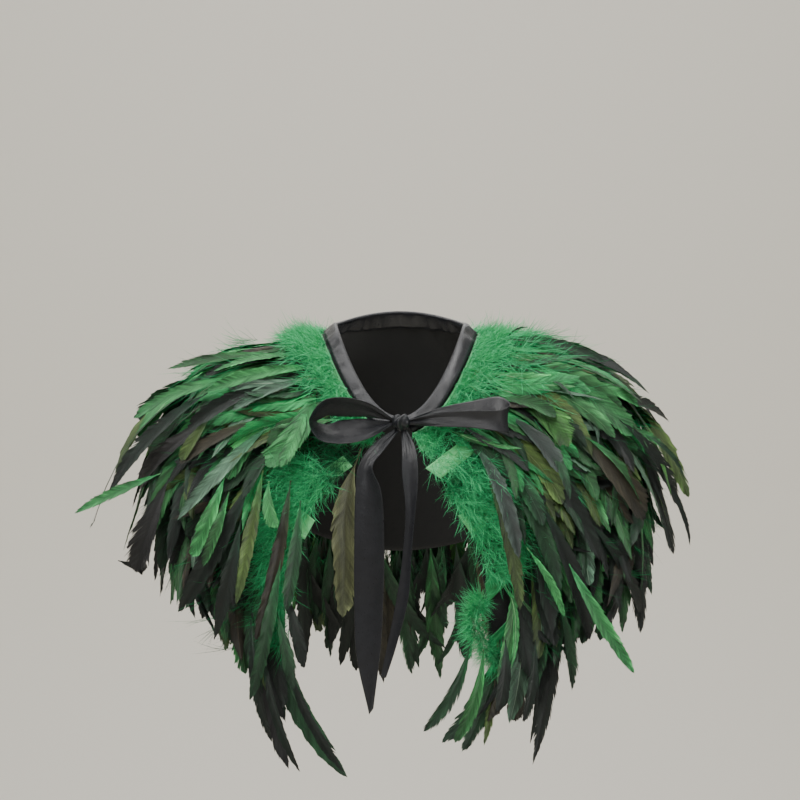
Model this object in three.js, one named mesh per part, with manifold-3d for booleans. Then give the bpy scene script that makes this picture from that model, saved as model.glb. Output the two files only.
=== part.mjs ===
// Feather cape with a ribbon bow, as a three.js model in millimetres, +Z up.
// The origin is the middle of the neck opening, level with its sides.
// The front faces -Y. Left and right are those seen from the front: left is -X.

import * as THREE from 'three';
import { mergeVertices } from 'three/addons/utils/BufferGeometryUtils.js';
import Module from 'manifold-3d';

const wasm = await Module();
wasm.setup();

// Driving sizes of the cloth.
const CLOTH_WALL = 2;
const SEAM_GAP = 0.3;
const NECK_EDGE = 0;
const HEM_DOWN = 262;
const SHOULDER_AROUND = 0.5;
const BAND_WIDTH = 18;
const RIBBON_WALL = 1;

// Driving sizes of the feather trim.
const TAPE_WIDTH = 20;
const TAPE_WALL = 1.5;
const TAPE_LIFT = CLOTH_WALL / 2 + SEAM_GAP;
const FEATHER_MAX_WIDTH = 23;
const FEATHER_THICKNESS = 2.2;
const FEATHER_ROOT_WIDTH = 5;
const FEATHER_ROOT_THICKNESS = 1;
const FEATHER_TIP = 0.4;
const FEATHER_SPACE = 1.8;
// Where around the feathers start to get shorter towards the front edges.
const FRONT_STARTS = 0.6;
// How far down the tape a root starts, and where it leaves it, as shares of its width.
const ROOT_TOP = 0.4;
const ROOT_LEAVES = 1.05;

// Sections of the cape, a row for each distance down from the neck edge.
// Below the hem they only guide the feathers.
const SECTIONS = [
  {
    down: 0, halfWidth: 64, frontDepth: 93, backDepth: 56, sideZ: 11,
    frontZ: -82, backZ: 25, leftEdge: 5, rightEdge: 5,
  },
  {
    down: 20, halfWidth: 77, frontDepth: 103, backDepth: 67, sideZ: 0,
    frontZ: -100, backZ: 8, leftEdge: 17, rightEdge: 12,
  },
  {
    down: 60, halfWidth: 113, frontDepth: 117, backDepth: 92, sideZ: -17,
    frontZ: -143, backZ: -30, leftEdge: 43, rightEdge: 29,
  },
  {
    down: 120, halfWidth: 163, frontDepth: 126, backDepth: 112, sideZ: -37,
    frontZ: -208, backZ: -88, leftEdge: 82, rightEdge: 60,
  },
  {
    down: 180, halfWidth: 196, frontDepth: 130, backDepth: 123, sideZ: -66,
    frontZ: -270, backZ: -146, leftEdge: 101, rightEdge: 79,
  },
  {
    down: 240, halfWidth: 213, frontDepth: 132, backDepth: 129, sideZ: -102,
    frontZ: -326, backZ: -204, leftEdge: 109, rightEdge: 84,
  },
  {
    down: 300, halfWidth: 222, frontDepth: 135, backDepth: 133, sideZ: -148,
    frontZ: -382, backZ: -260, leftEdge: 104, rightEdge: 78,
  },
  {
    down: 360, halfWidth: 224, frontDepth: 138, backDepth: 136, sideZ: -197,
    frontZ: -438, backZ: -316, leftEdge: 86, rightEdge: 60,
  },
  {
    down: 440, halfWidth: 222, frontDepth: 140, backDepth: 138, sideZ: -262,
    frontZ: -515, backZ: -390, leftEdge: 56, rightEdge: 30,
  },
];

// Soft folds of the hanging cloth: where they run, how wide, how far they stand out at the hem.
const FOLDS = [
  { around: -0.76, width: 0.07, depth: 5 },
  { around: -0.55, width: 0.06, depth: -4 },
  { around: -0.34, width: 0.08, depth: 7 },
  { around: -0.12, width: 0.07, depth: -4 },
  { around: 0.07, width: 0.08, depth: 6 },
  { around: 0.29, width: 0.06, depth: -5 },
  { around: 0.47, width: 0.07, depth: 5 },
  { around: 0.71, width: 0.08, depth: 6 },
];

// Rows of feather trim: where the tape starts, feathers in the row, their length at the
// back and sides and near the front edges, how much shorter they are over the upper arms,
// and how steeply they stand off the cloth.
const FEATHER_ROWS = [
  { down: 20, count: 36, length: 150, frontLength: 128, armTrim: 0, lift: 0.36 },
  { down: 64, count: 39, length: 160, frontLength: 135, armTrim: 0, lift: 0.33 },
  { down: 124, count: 42, length: 164, frontLength: 132, armTrim: 0, lift: 0.31 },
  { down: 182, count: 42, length: 162, frontLength: 122, armTrim: 6, lift: 0.26 },
  { down: 238, count: 42, length: 150, frontLength: 100, armTrim: 38, lift: 0.18 },
];

// The place around at which the feathers over the arms are shortest, and how far it reaches.
const ARM_TRIM_AROUND = 0.8;
const ARM_TRIM_REACH = 0.14;

// Long feathers that stand out of the crowd, each at the nearest place of its row; sway
// turns the tip sideways, as a share of the space to the next feather.
const LONG_FEATHERS = [
  { row: 0, around: -0.56, length: 170, lift: 0.38, sway: 0 },
  { row: 1, around: -0.54, length: 185, lift: 0.44, sway: 0 },
  { row: 2, around: -0.55, length: 205, lift: 0.56, sway: 0 },
  { row: 2, around: 0.53, length: 178, lift: 0.42, sway: 0 },
  { row: 3, around: -0.54, length: 172, lift: 0.42, sway: 0 },
  { row: 3, around: 0.55, length: 170, lift: 0.36, sway: 0 },
  { row: 4, around: 0.66, length: 160, lift: 0.2, sway: 0.3 },
  { row: 4, around: -0.98, length: 92, lift: 0.14, sway: -2.4 },
  { row: 4, around: -0.93, length: 122, lift: 0.18, sway: -0.6 },
  { row: 4, around: 0.98, length: 54, lift: 0.14, sway: 2.2 },
  { row: 4, around: 0.86, length: 140, lift: 0.18, sway: 0.4 },
];

// The loose feather that hangs from the end of the second row, beside the ribbon: the
// place of its root in the tape, and its stations below that.
const LOOSE_ROOT = { row: 1, around: -0.992, width: 3.6 };
const LOOSE_FEATHER = [
  { x: -52, y: -119, z: -165, width: 17 },
  { x: -51, y: -122, z: -215, width: 20 },
  { x: -49, y: -124, z: -250, width: 18 },
  { x: -48, y: -125, z: -266, width: 0 },
];

// Ribbon pieces, a row for each station, with both edges of the ribbon there.
const LOOP_LEFT = [
  { ax: -7, ay: -105.2, az: -83.4, bx: -7, by: -100.4, bz: -84 },
  { ax: -32, ay: -124, az: -68, bx: -32, by: -109, bz: -77 },
  { ax: -55, ay: -131, az: -63, bx: -54, by: -111, bz: -78 },
  { ax: -74, ay: -133, az: -67, bx: -70, by: -113, bz: -79 },
  { ax: -85, ay: -134, az: -84, bx: -79, by: -114, bz: -85 },
  { ax: -77, ay: -134, az: -101, bx: -70, by: -114, bz: -91 },
  { ax: -57, ay: -132, az: -106, bx: -54, by: -113, bz: -92 },
  { ax: -32, ay: -125, az: -102, bx: -32, by: -111, bz: -93 },
  { ax: -7, ay: -105.2, az: -87.4, bx: -7, by: -100.4, bz: -88.2 },
];
const LOOP_RIGHT = [
  { ax: 9.2, ay: -105.8, az: -88.6, bx: 9.2, by: -105.8, bz: -83.6 },
  { ax: 34, ay: -125, az: -90, bx: 34, by: -125, bz: -77 },
  { ax: 66, ay: -132, az: -91, bx: 66, by: -132, bz: -75 },
  { ax: 96, ay: -132, az: -95, bx: 96, by: -132, bz: -74 },
  { ax: 104, ay: -124, az: -96, bx: 104, by: -123, bz: -69 },
  { ax: 94, ay: -117, az: -93, bx: 95, by: -114, bz: -62 },
  { ax: 66, ay: -116, az: -91, bx: 68, by: -113, bz: -66 },
  { ax: 34, ay: -112, az: -89, bx: 36, by: -109, bz: -73 },
  { ax: 9.2, ay: -101, az: -88.4, bx: 9.2, by: -100.6, bz: -83.2 },
];
const TAIL_LEFT = [
  { ax: -5.6, ay: -103.1, az: -92.3, bx: -1.2, by: -105.2, bz: -94.7 },
  { ax: -25, ay: -117, az: -106, bx: -14, by: -119, bz: -111 },
  { ax: -39, ay: -125, az: -127, bx: -26, by: -128, bz: -128 },
  { ax: -42, ay: -128, az: -150, bx: -18, by: -133, bz: -150 },
  { ax: -43, ay: -130, az: -200, bx: -15, by: -134, bz: -200 },
  { ax: -43, ay: -130, az: -260, bx: -16, by: -133, bz: -258 },
  { ax: -41, ay: -130, az: -305, bx: -18, by: -132, bz: -296 },
  { ax: -29, ay: -130, az: -361, bx: -25, by: -131, bz: -355 },
];
const TAIL_RIGHT = [
  { ax: 1.2, ay: -104.6, az: -94.9, bx: 6.6, by: -104.6, bz: -93.2 },
  { ax: 2, ay: -119, az: -112, bx: 15, by: -118, bz: -112 },
  { ax: 2, ay: -126, az: -135, bx: 17, by: -126, bz: -135 },
  { ax: 5, ay: -129, az: -165, bx: 15, by: -132, bz: -165 },
  { ax: 3, ay: -130, az: -205, bx: 11, by: -135, bz: -205 },
  { ax: -3, ay: -131, az: -250, bx: 8, by: -136, bz: -250 },
  { ax: -12, ay: -131, az: -295, bx: -3, by: -135, bz: -295 },
  { ax: -18, ay: -131, az: -326, bx: -13, by: -132, bz: -326 },
];
const KNOT = { x: 1, y: -102.8, z: -86, halfWidth: 8, halfDepth: 7, halfHeight: 8.5 };

// Places around and down that all pieces share, so that what lies on the cloth follows its
// facets. The places down are the edges of the neck binding and of the tapes.
const QUARTER_STEPS = 11;
const AROUND_STEPS = 4 * QUARTER_STEPS;
const SHARED_AROUNDS = evenSteps(-1, 1, AROUND_STEPS);
const TAPE_EDGES = FEATHER_ROWS.flatMap(({ down }) => [down, down + TAPE_WIDTH]);
const SHARED_DOWNS = [NECK_EDGE, BAND_WIDTH, ...TAPE_EDGES, HEM_DOWN];

// Colours and surfaces.
const FOUNDATION_BLACK = new THREE.MeshStandardMaterial({ color: 0x141516, roughness: 0.9, metalness: 0 });
const RIBBON_SATIN = new THREE.MeshStandardMaterial({ color: 0x3a3b40, roughness: 0.42, metalness: 0 });
const FEATHER_GREENS = [0x3f9a5c, 0x2f7a48, 0x2c6a40, 0x24543a, 0x1f4430];

function evenSteps(from, to, steps) {
  return Array.from({ length: steps + 1 }, (_, step) => THREE.MathUtils.lerp(from, to, step / steps));
}

// A column of the section table at any distance down, as a smooth curve through its rows.
function sectionValue(column, down) {
  const last = SECTIONS.length - 1;
  let index = 0;
  while (index < last - 1 && down > SECTIONS[index + 1].down) {
    index += 1;
  }
  const slopeAt = (row) => {
    const before = SECTIONS[Math.max(row - 1, 0)];
    const after = SECTIONS[Math.min(row + 1, last)];
    return (after[column] - before[column]) / (after.down - before.down);
  };
  const start = SECTIONS[index];
  const end = SECTIONS[index + 1];
  if (down < start.down) {
    return start[column] + slopeAt(index) * (down - start.down);
  }
  const span = end.down - start.down;
  const t = (down - start.down) / span;
  const t2 = t * t;
  const t3 = t2 * t;
  return (2 * t3 - 3 * t2 + 1) * start[column]
    + (t3 - 2 * t2 + t) * span * slopeAt(index)
    + (3 * t2 - 2 * t3) * end[column]
    + (t3 - t2) * span * slopeAt(index + 1);
}

// How far the folds push the cloth out at a place.
function foldDepth(around, down) {
  const growth = Math.min(Math.max(down / HEM_DOWN, 0), 1.3) ** 2;
  let depth = 0;
  for (const fold of FOLDS) {
    const offset = (around - fold.around) / fold.width;
    depth += fold.depth * Math.exp(-offset * offset);
  }
  return depth * growth;
}

// A point of the cape's middle surface. Around is -1 at the left front edge, 0 at the
// middle of the back and 1 at the right front edge; the shoulders are at -0.5 and 0.5.
function surfacePoint(around, down) {
  const halfWidth = sectionValue('halfWidth', down);
  const edge = sectionValue(around < 0 ? 'leftEdge' : 'rightEdge', down);
  const edgeAngle = Math.PI - Math.asin(Math.min(edge / halfWidth, 1));
  const share = Math.abs(around);
  let angle = share * Math.PI;
  if (share > SHOULDER_AROUND) {
    const forward = (share - SHOULDER_AROUND) / (1 - SHOULDER_AROUND);
    angle = Math.PI / 2 + forward * (edgeAngle - Math.PI / 2);
  }
  const side = Math.sign(around);
  const sine = Math.sin(angle);
  const cosine = Math.cos(angle);
  const depth = sectionValue(cosine > 0 ? 'backDepth' : 'frontDepth', down);
  const level = sectionValue(cosine > 0 ? 'backZ' : 'frontZ', down);
  const out = foldDepth(around, down);
  return new THREE.Vector3(
    side * sine * (halfWidth + out),
    cosine * (depth + out),
    sectionValue('sideZ', down) * sine * sine + level * cosine * cosine,
  );
}

// Outward normal and sideways direction of the surface at a place.
function surfaceFrame(around, down) {
  const small = 0.004;
  const side = surfacePoint(around + small, down).sub(surfacePoint(around - small, down)).normalize();
  const fall = surfacePoint(around, down + 1).sub(surfacePoint(around, down - 1)).normalize();
  const normal = new THREE.Vector3().crossVectors(side, fall).normalize();
  return { side, normal };
}

// A point that stands off the middle surface by a height.
function raisedPoint(around, down, height) {
  return surfacePoint(around, down).addScaledVector(surfaceFrame(around, down).normal, height);
}

// A closed wall between two grids of points; the outer grid is on the side that faces out.
function wallGeometry(outer, inner) {
  const rows = outer.length;
  const columns = outer[0].length;
  const positions = [];
  for (const grid of [outer, inner]) {
    for (const line of grid) {
      for (const point of line) {
        positions.push(point.x, point.y, point.z);
      }
    }
  }
  const index = [];
  const at = (layer, row, column) => layer * rows * columns + row * columns + column;
  const quad = (a, b, c, d) => index.push(a, b, c, a, c, d);
  for (let row = 0; row < rows - 1; row += 1) {
    for (let column = 0; column < columns - 1; column += 1) {
      quad(at(0, row, column), at(0, row + 1, column), at(0, row + 1, column + 1), at(0, row, column + 1));
      quad(at(1, row, column), at(1, row, column + 1), at(1, row + 1, column + 1), at(1, row + 1, column));
    }
    quad(at(1, row, 0), at(1, row + 1, 0), at(0, row + 1, 0), at(0, row, 0));
    const end = columns - 1;
    quad(at(0, row, end), at(0, row + 1, end), at(1, row + 1, end), at(1, row, end));
  }
  for (let column = 0; column < columns - 1; column += 1) {
    quad(at(0, 0, column), at(0, 0, column + 1), at(1, 0, column + 1), at(1, 0, column));
    const end = rows - 1;
    quad(at(1, end, column), at(1, end, column + 1), at(0, end, column + 1), at(0, end, column));
  }
  const geometry = new THREE.BufferGeometry();
  geometry.setAttribute('position', new THREE.Float32BufferAttribute(positions, 3));
  geometry.setIndex(index);
  return geometry;
}

// A closed body through rings of points with the same count, capped at both ends.
function loftGeometry(rings) {
  const sides = rings[0].length;
  const positions = rings.flat().flatMap((point) => [point.x, point.y, point.z]);
  const index = [];
  for (let ring = 0; ring < rings.length - 1; ring += 1) {
    for (let side = 0; side < sides; side += 1) {
      const next = (side + 1) % sides;
      const a = ring * sides + side;
      const b = ring * sides + next;
      index.push(a, b, b + sides, a, b + sides, a + sides);
    }
  }
  const lastRing = (rings.length - 1) * sides;
  for (let side = 1; side < sides - 1; side += 1) {
    index.push(0, side + 1, side, lastRing, lastRing + side, lastRing + side + 1);
  }
  const geometry = new THREE.BufferGeometry();
  geometry.setAttribute('position', new THREE.Float32BufferAttribute(positions, 3));
  geometry.setIndex(index);
  return geometry;
}

// A manifold solid from a closed geometry, with its faces turned out.
function toSolid(geometry) {
  const merged = mergeVertices(geometry, 1e-4);
  const triangles = [];
  const index = merged.index.array;
  for (let corner = 0; corner < index.length; corner += 3) {
    const [a, b, c] = [index[corner], index[corner + 1], index[corner + 2]];
    if (a !== b && b !== c && c !== a) {
      triangles.push(a, b, c);
    }
  }
  const make = (triVerts) => new wasm.Manifold(new wasm.Mesh({
    numProp: 3,
    vertProperties: new Float32Array(merged.attributes.position.array),
    triVerts: new Uint32Array(triVerts),
  }));
  const solid = make(triangles);
  if (solid.volume() > 0) {
    return solid;
  }
  const turned = [];
  for (let corner = 0; corner < triangles.length; corner += 3) {
    turned.push(triangles[corner], triangles[corner + 2], triangles[corner + 1]);
  }
  return make(turned);
}

// A three.js geometry from a manifold solid.
function toGeometry(solid) {
  const mesh = solid.getMesh();
  const geometry = new THREE.BufferGeometry();
  const positions = [];
  for (let vertex = 0; vertex < mesh.numVert; vertex += 1) {
    for (let axis = 0; axis < 3; axis += 1) {
      positions.push(mesh.vertProperties[vertex * mesh.numProp + axis]);
    }
  }
  geometry.setAttribute('position', new THREE.Float32BufferAttribute(positions, 3));
  geometry.setIndex(Array.from(mesh.triVerts));
  return geometry;
}

function namedMesh(name, solid, material) {
  const geometry = toGeometry(solid);
  geometry.computeVertexNormals();
  const mesh = new THREE.Mesh(geometry, material);
  mesh.name = name;
  return mesh;
}

// A panel of the cape's surface with a wall, through places around and places down.
function panelSolid({ arounds, downs, low, high }) {
  const grid = (height) => downs.map((down) => arounds.map((around) => raisedPoint(around, down, height)));
  return toSolid(wallGeometry(grid(high), grid(low)));
}

// Share of the way around that makes the seam gap at the shoulder, where it is narrowest.
function seamShare() {
  const small = 0.001;
  const step = surfacePoint(SHOULDER_AROUND, NECK_EDGE).distanceTo(
    surfacePoint(SHOULDER_AROUND - small, NECK_EDGE),
  );
  return (SEAM_GAP * small) / step;
}

// A panel of the foundation from one shared place around to another, with half a seam
// gap at each end that is a seam.
function yokePanel(fromStep, toStep, seamAtStart, seamAtEnd) {
  const arounds = SHARED_AROUNDS.slice(fromStep, toStep + 1);
  arounds[0] += seamAtStart;
  arounds[arounds.length - 1] -= seamAtEnd;
  return panelSolid({ arounds, downs: SHARED_DOWNS, low: -CLOTH_WALL / 2, high: CLOTH_WALL / 2 });
}

// The neck binding: a ribbon folded over the neck edge, as a channel-shaped section that
// runs from the outer leg over the fold to the inner leg and back inside the channel.
function neckbandSolid() {
  const inner = CLOTH_WALL / 2 + SEAM_GAP;
  const outer = inner + RIBBON_WALL;
  const foldLow = NECK_EDGE - SEAM_GAP;
  const top = foldLow - RIBBON_WALL;
  const section = [
    [outer, BAND_WIDTH], [outer, NECK_EDGE], [outer, top],
    [-outer, top], [-outer, NECK_EDGE], [-outer, BAND_WIDTH],
    [-inner, BAND_WIDTH], [-inner, NECK_EDGE], [-inner, foldLow],
    [inner, foldLow], [inner, NECK_EDGE], [inner, BAND_WIDTH],
  ];
  const sides = section.length;
  const positions = SHARED_AROUNDS.flatMap((around) => section.flatMap(
    ([height, down]) => raisedPoint(around, down, height).toArray(),
  ));
  const index = [];
  for (let ring = 0; ring < AROUND_STEPS; ring += 1) {
    for (let side = 0; side < sides; side += 1) {
      const next = (side + 1) % sides;
      const [a, b] = [ring * sides + side, ring * sides + next];
      // Every facet is cut along the same diagonal as the cloth beneath it.
      if (section[next][1] < section[side][1]) {
        index.push(a, b, a + sides, b, b + sides, a + sides);
      } else {
        index.push(a, b, b + sides, a, b + sides, a + sides);
      }
    }
  }
  const lastRing = AROUND_STEPS * sides;
  const capQuads = [[0, 1, 10, 11], [1, 2, 9, 10], [2, 3, 8, 9], [3, 4, 7, 8], [4, 5, 6, 7]];
  for (const [a, b, c, d] of capQuads) {
    index.push(a, c, b, a, d, c);
    index.push(lastRing + a, lastRing + b, lastRing + c, lastRing + a, lastRing + c, lastRing + d);
  }
  const geometry = new THREE.BufferGeometry();
  geometry.setAttribute('position', new THREE.Float32BufferAttribute(positions, 3));
  geometry.setIndex(index);
  return toSolid(geometry);
}

// Repeatable number between -1 and 1 for a feather of a row.
function variation(row, place, kind) {
  const wave = Math.sin(row * 12.9898 + place * 78.233 + kind * 37.719) * 43758.5453;
  return 2 * (wave - Math.floor(wave)) - 1;
}

// Places around for a number of feathers, evenly spread along the lower edge of a tape.
function evenPlaces(down, count) {
  const samples = 240;
  const lengths = [0];
  let previous = surfacePoint(-1, down);
  for (let sample = 1; sample <= samples; sample += 1) {
    const point = surfacePoint(-1 + (2 * sample) / samples, down);
    lengths.push(lengths[sample - 1] + point.distanceTo(previous));
    previous = point;
  }
  const total = lengths[samples];
  const places = [];
  let sample = 1;
  for (let place = 0; place < count; place += 1) {
    const wanted = (total * (place + 0.5)) / count;
    while (lengths[sample] < wanted) {
      sample += 1;
    }
    const share = (wanted - lengths[sample - 1]) / (lengths[sample] - lengths[sample - 1]);
    places.push(-1 + (2 * (sample - 1 + share)) / samples);
  }
  return places;
}

// A station of a feather's root inside the tape of its row, on the tape's own facets.
function rootStation(row, around, share, width) {
  const { down } = FEATHER_ROWS[row];
  const step = Math.min(Math.floor((around + 1) * AROUND_STEPS / 2), AROUND_STEPS - 1);
  const place = (around + 1) * AROUND_STEPS / 2 - step;
  const [topStart, topEnd, lowStart, lowEnd] = [down, down + TAPE_WIDTH].flatMap((level) => [
    raisedPoint(SHARED_AROUNDS[step], level, TAPE_LIFT + TAPE_WALL / 2),
    raisedPoint(SHARED_AROUNDS[step + 1], level, TAPE_LIFT + TAPE_WALL / 2),
  ]);
  const top = topStart.clone().lerp(topEnd, place);
  const low = lowStart.clone().lerp(lowEnd, place);
  const side = lowEnd.sub(lowStart).normalize();
  const fall = low.clone().sub(top).normalize();
  const normal = new THREE.Vector3().crossVectors(side, fall).normalize();
  return { middle: top.lerp(low, share), side, normal, width, thickness: FEATHER_ROOT_THICKNESS };
}

// A feather as a four-sided lance through stations that hold a middle, a sideways
// direction, a normal, a width and a thickness; the last station is the tip.
function featherSolid(stations) {
  const rings = stations.map(({ middle, side, normal, width, thickness }) => [
    middle.clone().addScaledVector(side, -width / 2),
    middle.clone().addScaledVector(normal, -thickness / 2),
    middle.clone().addScaledVector(side, width / 2),
    middle.clone().addScaledVector(normal, thickness / 2),
  ]);
  return toSolid(loftGeometry(rings));
}

// Length of a row's feathers at a place around: shorter near the front edges.
function rowLength(row, around) {
  const { length, frontLength, armTrim } = FEATHER_ROWS[row];
  const forward = THREE.MathUtils.smoothstep(Math.abs(around), FRONT_STARTS, 1);
  const overArm = Math.exp(-(((Math.abs(around) - ARM_TRIM_AROUND) / ARM_TRIM_REACH) ** 2));
  return THREE.MathUtils.lerp(length, frontLength, forward) - armTrim * overArm;
}

// One feather of a row, from inside its tape to its tip.
function rowFeather(row, place, around, spacing) {
  const { down, lift } = FEATHER_ROWS[row];
  const long = LONG_FEATHERS.find((feather) => feather.row === row
    && Math.abs(feather.around - around) < spacing / 2);
  const reach = long ? long.length : rowLength(row, around) * (1 + 0.09 * variation(row, place, 1));
  const slope = long ? long.lift : lift + 0.012 * variation(row, place, 2);
  const turn = long ? long.sway : 0.35 * Math.sin(9 * around + 2 * row);
  const tapeEdge = down + TAPE_WIDTH;
  const base = TAPE_LIFT + TAPE_WALL / 2;
  const stationAt = (distance, width, thickness) => {
    const share = distance / reach;
    const tilted = around + turn * spacing * share * share;
    const { side, normal } = surfaceFrame(tilted, tapeEdge + distance);
    const height = base + slope * distance * (1 - 0.22 * share);
    const middle = surfacePoint(tilted, tapeEdge + distance).addScaledVector(normal, height);
    const neighbour = surfacePoint(tilted + spacing, tapeEdge + distance);
    const room = neighbour.distanceTo(surfacePoint(tilted, tapeEdge + distance)) - FEATHER_SPACE;
    return { middle, side, normal, width: Math.min(width, room), thickness };
  };
  return featherSolid([
    rootStation(row, around, ROOT_TOP, FEATHER_ROOT_WIDTH),
    rootStation(row, around, ROOT_LEAVES, FEATHER_ROOT_WIDTH),
    stationAt(reach * 0.34, FEATHER_MAX_WIDTH * 0.86, FEATHER_THICKNESS),
    stationAt(reach * 0.72, FEATHER_MAX_WIDTH, FEATHER_THICKNESS),
    stationAt(reach, FEATHER_TIP, FEATHER_TIP),
  ]);
}

// The loose feather, hung from the left end of its tape.
function looseFeather() {
  const roots = [ROOT_TOP, ROOT_LEAVES].map(
    (share) => rootStation(LOOSE_ROOT.row, LOOSE_ROOT.around, share, LOOSE_ROOT.width),
  );
  const hanging = LOOSE_FEATHER.map(({ x, y, z, width }) => ({
    middle: new THREE.Vector3(x, y, z),
    side: new THREE.Vector3(1, 0, 0),
    normal: new THREE.Vector3(0, -1, 0),
    width: Math.max(width, FEATHER_TIP),
    thickness: width > 0 ? FEATHER_THICKNESS : FEATHER_TIP,
  }));
  return featherSolid([...roots, ...hanging]);
}

// A row of trim: its tape with every feather fused in at the root.
function featherRowSolid(row) {
  const { down, count } = FEATHER_ROWS[row];
  let solid = panelSolid({
    arounds: SHARED_AROUNDS,
    downs: [down, down + TAPE_WIDTH],
    low: TAPE_LIFT,
    high: TAPE_LIFT + TAPE_WALL,
  });
  const places = evenPlaces(down + TAPE_WIDTH, count);
  places.forEach((around, place) => {
    const before = places[Math.max(place - 1, 0)];
    const after = places[Math.min(place + 1, count - 1)];
    const gaps = Math.min(place, 1) + Math.min(count - 1 - place, 1);
    const spacing = (after - before) / gaps;
    solid = solid.add(rowFeather(row, place, around, spacing));
  });
  if (row === LOOSE_ROOT.row) {
    solid = solid.add(looseFeather());
  }
  return solid;
}

// A ribbon wall through stations of both edges, smoothed between them.
function ribbonSolid(stations, samples, bulge) {
  const edgeCurve = (prefix) => new THREE.CatmullRomCurve3(
    stations.map((station) => new THREE.Vector3(
      station[`${prefix}x`],
      station[`${prefix}y`],
      station[`${prefix}z`],
    )),
    false,
    'centripetal',
  );
  const firstEdge = edgeCurve('a');
  const secondEdge = edgeCurve('b');
  const across = 3;
  const middle = [];
  for (let sample = 0; sample <= samples; sample += 1) {
    const t = sample / samples;
    const first = firstEdge.getPoint(t);
    const second = secondEdge.getPoint(t);
    const before = firstEdge.getPoint(Math.max(t - 0.01, 0));
    const after = firstEdge.getPoint(Math.min(t + 0.01, 1));
    const along = after.sub(before).normalize();
    const over = second.clone().sub(first);
    const normal = new THREE.Vector3().crossVectors(along, over).normalize();
    const line = [];
    for (let step = 0; step <= across; step += 1) {
      const share = step / across;
      const lift = bulge * Math.sin(Math.PI * share) * Math.sin(Math.PI * t);
      line.push(first.clone().lerp(second, share).addScaledVector(normal, lift));
    }
    middle.push(line);
  }
  const normals = gridNormals(middle);
  const layer = (height) => middle.map((line, row) => line.map(
    (point, column) => point.clone().addScaledVector(normals[row][column], height),
  ));
  return toSolid(wallGeometry(layer(RIBBON_WALL / 2), layer(-RIBBON_WALL / 2)));
}

// Normals of a grid of points, from its neighbours.
function gridNormals(grid) {
  const lastRow = grid.length - 1;
  const lastColumn = grid[0].length - 1;
  return grid.map((line, row) => line.map((point, column) => {
    const fall = grid[Math.min(row + 1, lastRow)][column].clone()
      .sub(grid[Math.max(row - 1, 0)][column]);
    const over = line[Math.min(column + 1, lastColumn)].clone()
      .sub(line[Math.max(column - 1, 0)]);
    return new THREE.Vector3().crossVectors(over, fall).normalize();
  }));
}

function knotSolid() {
  const geometry = new THREE.SphereGeometry(1, 14, 9);
  geometry.scale(KNOT.halfWidth, KNOT.halfDepth, KNOT.halfHeight);
  geometry.translate(KNOT.x, KNOT.y, KNOT.z);
  geometry.deleteAttribute('normal');
  geometry.deleteAttribute('uv');
  return toSolid(geometry);
}

const cape = new THREE.Group();
const seam = seamShare() / 2;
const leftShoulder = QUARTER_STEPS;
const rightShoulder = AROUND_STEPS - QUARTER_STEPS;
const back = yokePanel(leftShoulder, rightShoulder, seam, seam);
const frontLeft = yokePanel(0, leftShoulder, 0, seam);
const frontRight = yokePanel(rightShoulder, AROUND_STEPS, seam, 0);
cape.add(namedMesh('yoke_back', back, FOUNDATION_BLACK));
cape.add(namedMesh('yoke_front_left', frontLeft, FOUNDATION_BLACK));
cape.add(namedMesh('yoke_front_right', frontRight, FOUNDATION_BLACK));
cape.add(namedMesh('neckband', neckbandSolid(), RIBBON_SATIN));
cape.add(namedMesh('bow_loop_left', ribbonSolid(LOOP_LEFT, 20, 0), RIBBON_SATIN));
cape.add(namedMesh('bow_loop_right', ribbonSolid(LOOP_RIGHT, 20, 0), RIBBON_SATIN));
cape.add(namedMesh('bow_knot', knotSolid(), RIBBON_SATIN));
cape.add(namedMesh('ribbon_tail_left', ribbonSolid(TAIL_LEFT, 16, 2), RIBBON_SATIN));
cape.add(namedMesh('ribbon_tail_right', ribbonSolid(TAIL_RIGHT, 16, 1), RIBBON_SATIN));
FEATHER_ROWS.forEach((rowSizes, row) => {
  const material = new THREE.MeshStandardMaterial({
    color: FEATHER_GREENS[row],
    roughness: 0.5,
    metalness: 0,
  });
  cape.add(namedMesh(`feather_row_${row}`, featherRowSolid(row), material));
});

export default cape;
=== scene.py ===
import math

import bpy
import numpy as np
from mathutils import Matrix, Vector


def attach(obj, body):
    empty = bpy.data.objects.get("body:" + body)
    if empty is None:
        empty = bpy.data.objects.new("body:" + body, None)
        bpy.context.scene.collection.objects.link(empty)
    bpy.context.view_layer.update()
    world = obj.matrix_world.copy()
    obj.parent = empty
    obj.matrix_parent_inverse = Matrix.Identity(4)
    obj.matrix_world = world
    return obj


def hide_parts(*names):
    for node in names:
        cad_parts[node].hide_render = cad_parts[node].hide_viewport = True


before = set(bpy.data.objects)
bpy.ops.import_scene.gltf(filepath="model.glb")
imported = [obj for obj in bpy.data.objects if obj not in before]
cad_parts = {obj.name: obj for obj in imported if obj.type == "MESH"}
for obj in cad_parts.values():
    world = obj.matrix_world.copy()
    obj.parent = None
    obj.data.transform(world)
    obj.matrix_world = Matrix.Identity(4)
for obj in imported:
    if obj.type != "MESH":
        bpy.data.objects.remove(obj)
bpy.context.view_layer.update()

# Feather cape with a satin bow. Lengths are in millimetres until a mesh is made.
# The front faces -Y, and left is -X, as seen from the front.
MM = 0.001
SEEDS = dict(rows=100, placed=77, down=5, binding=7, tapes=40)

# The photograph's camera: its distance and height, and the picture's side in pixels, one for
# each millimetre at y = 0.
CAMERA_AWAY = 2200.0
CAMERA_Z = -65.0
PHOTO_SIZE = 800

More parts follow.
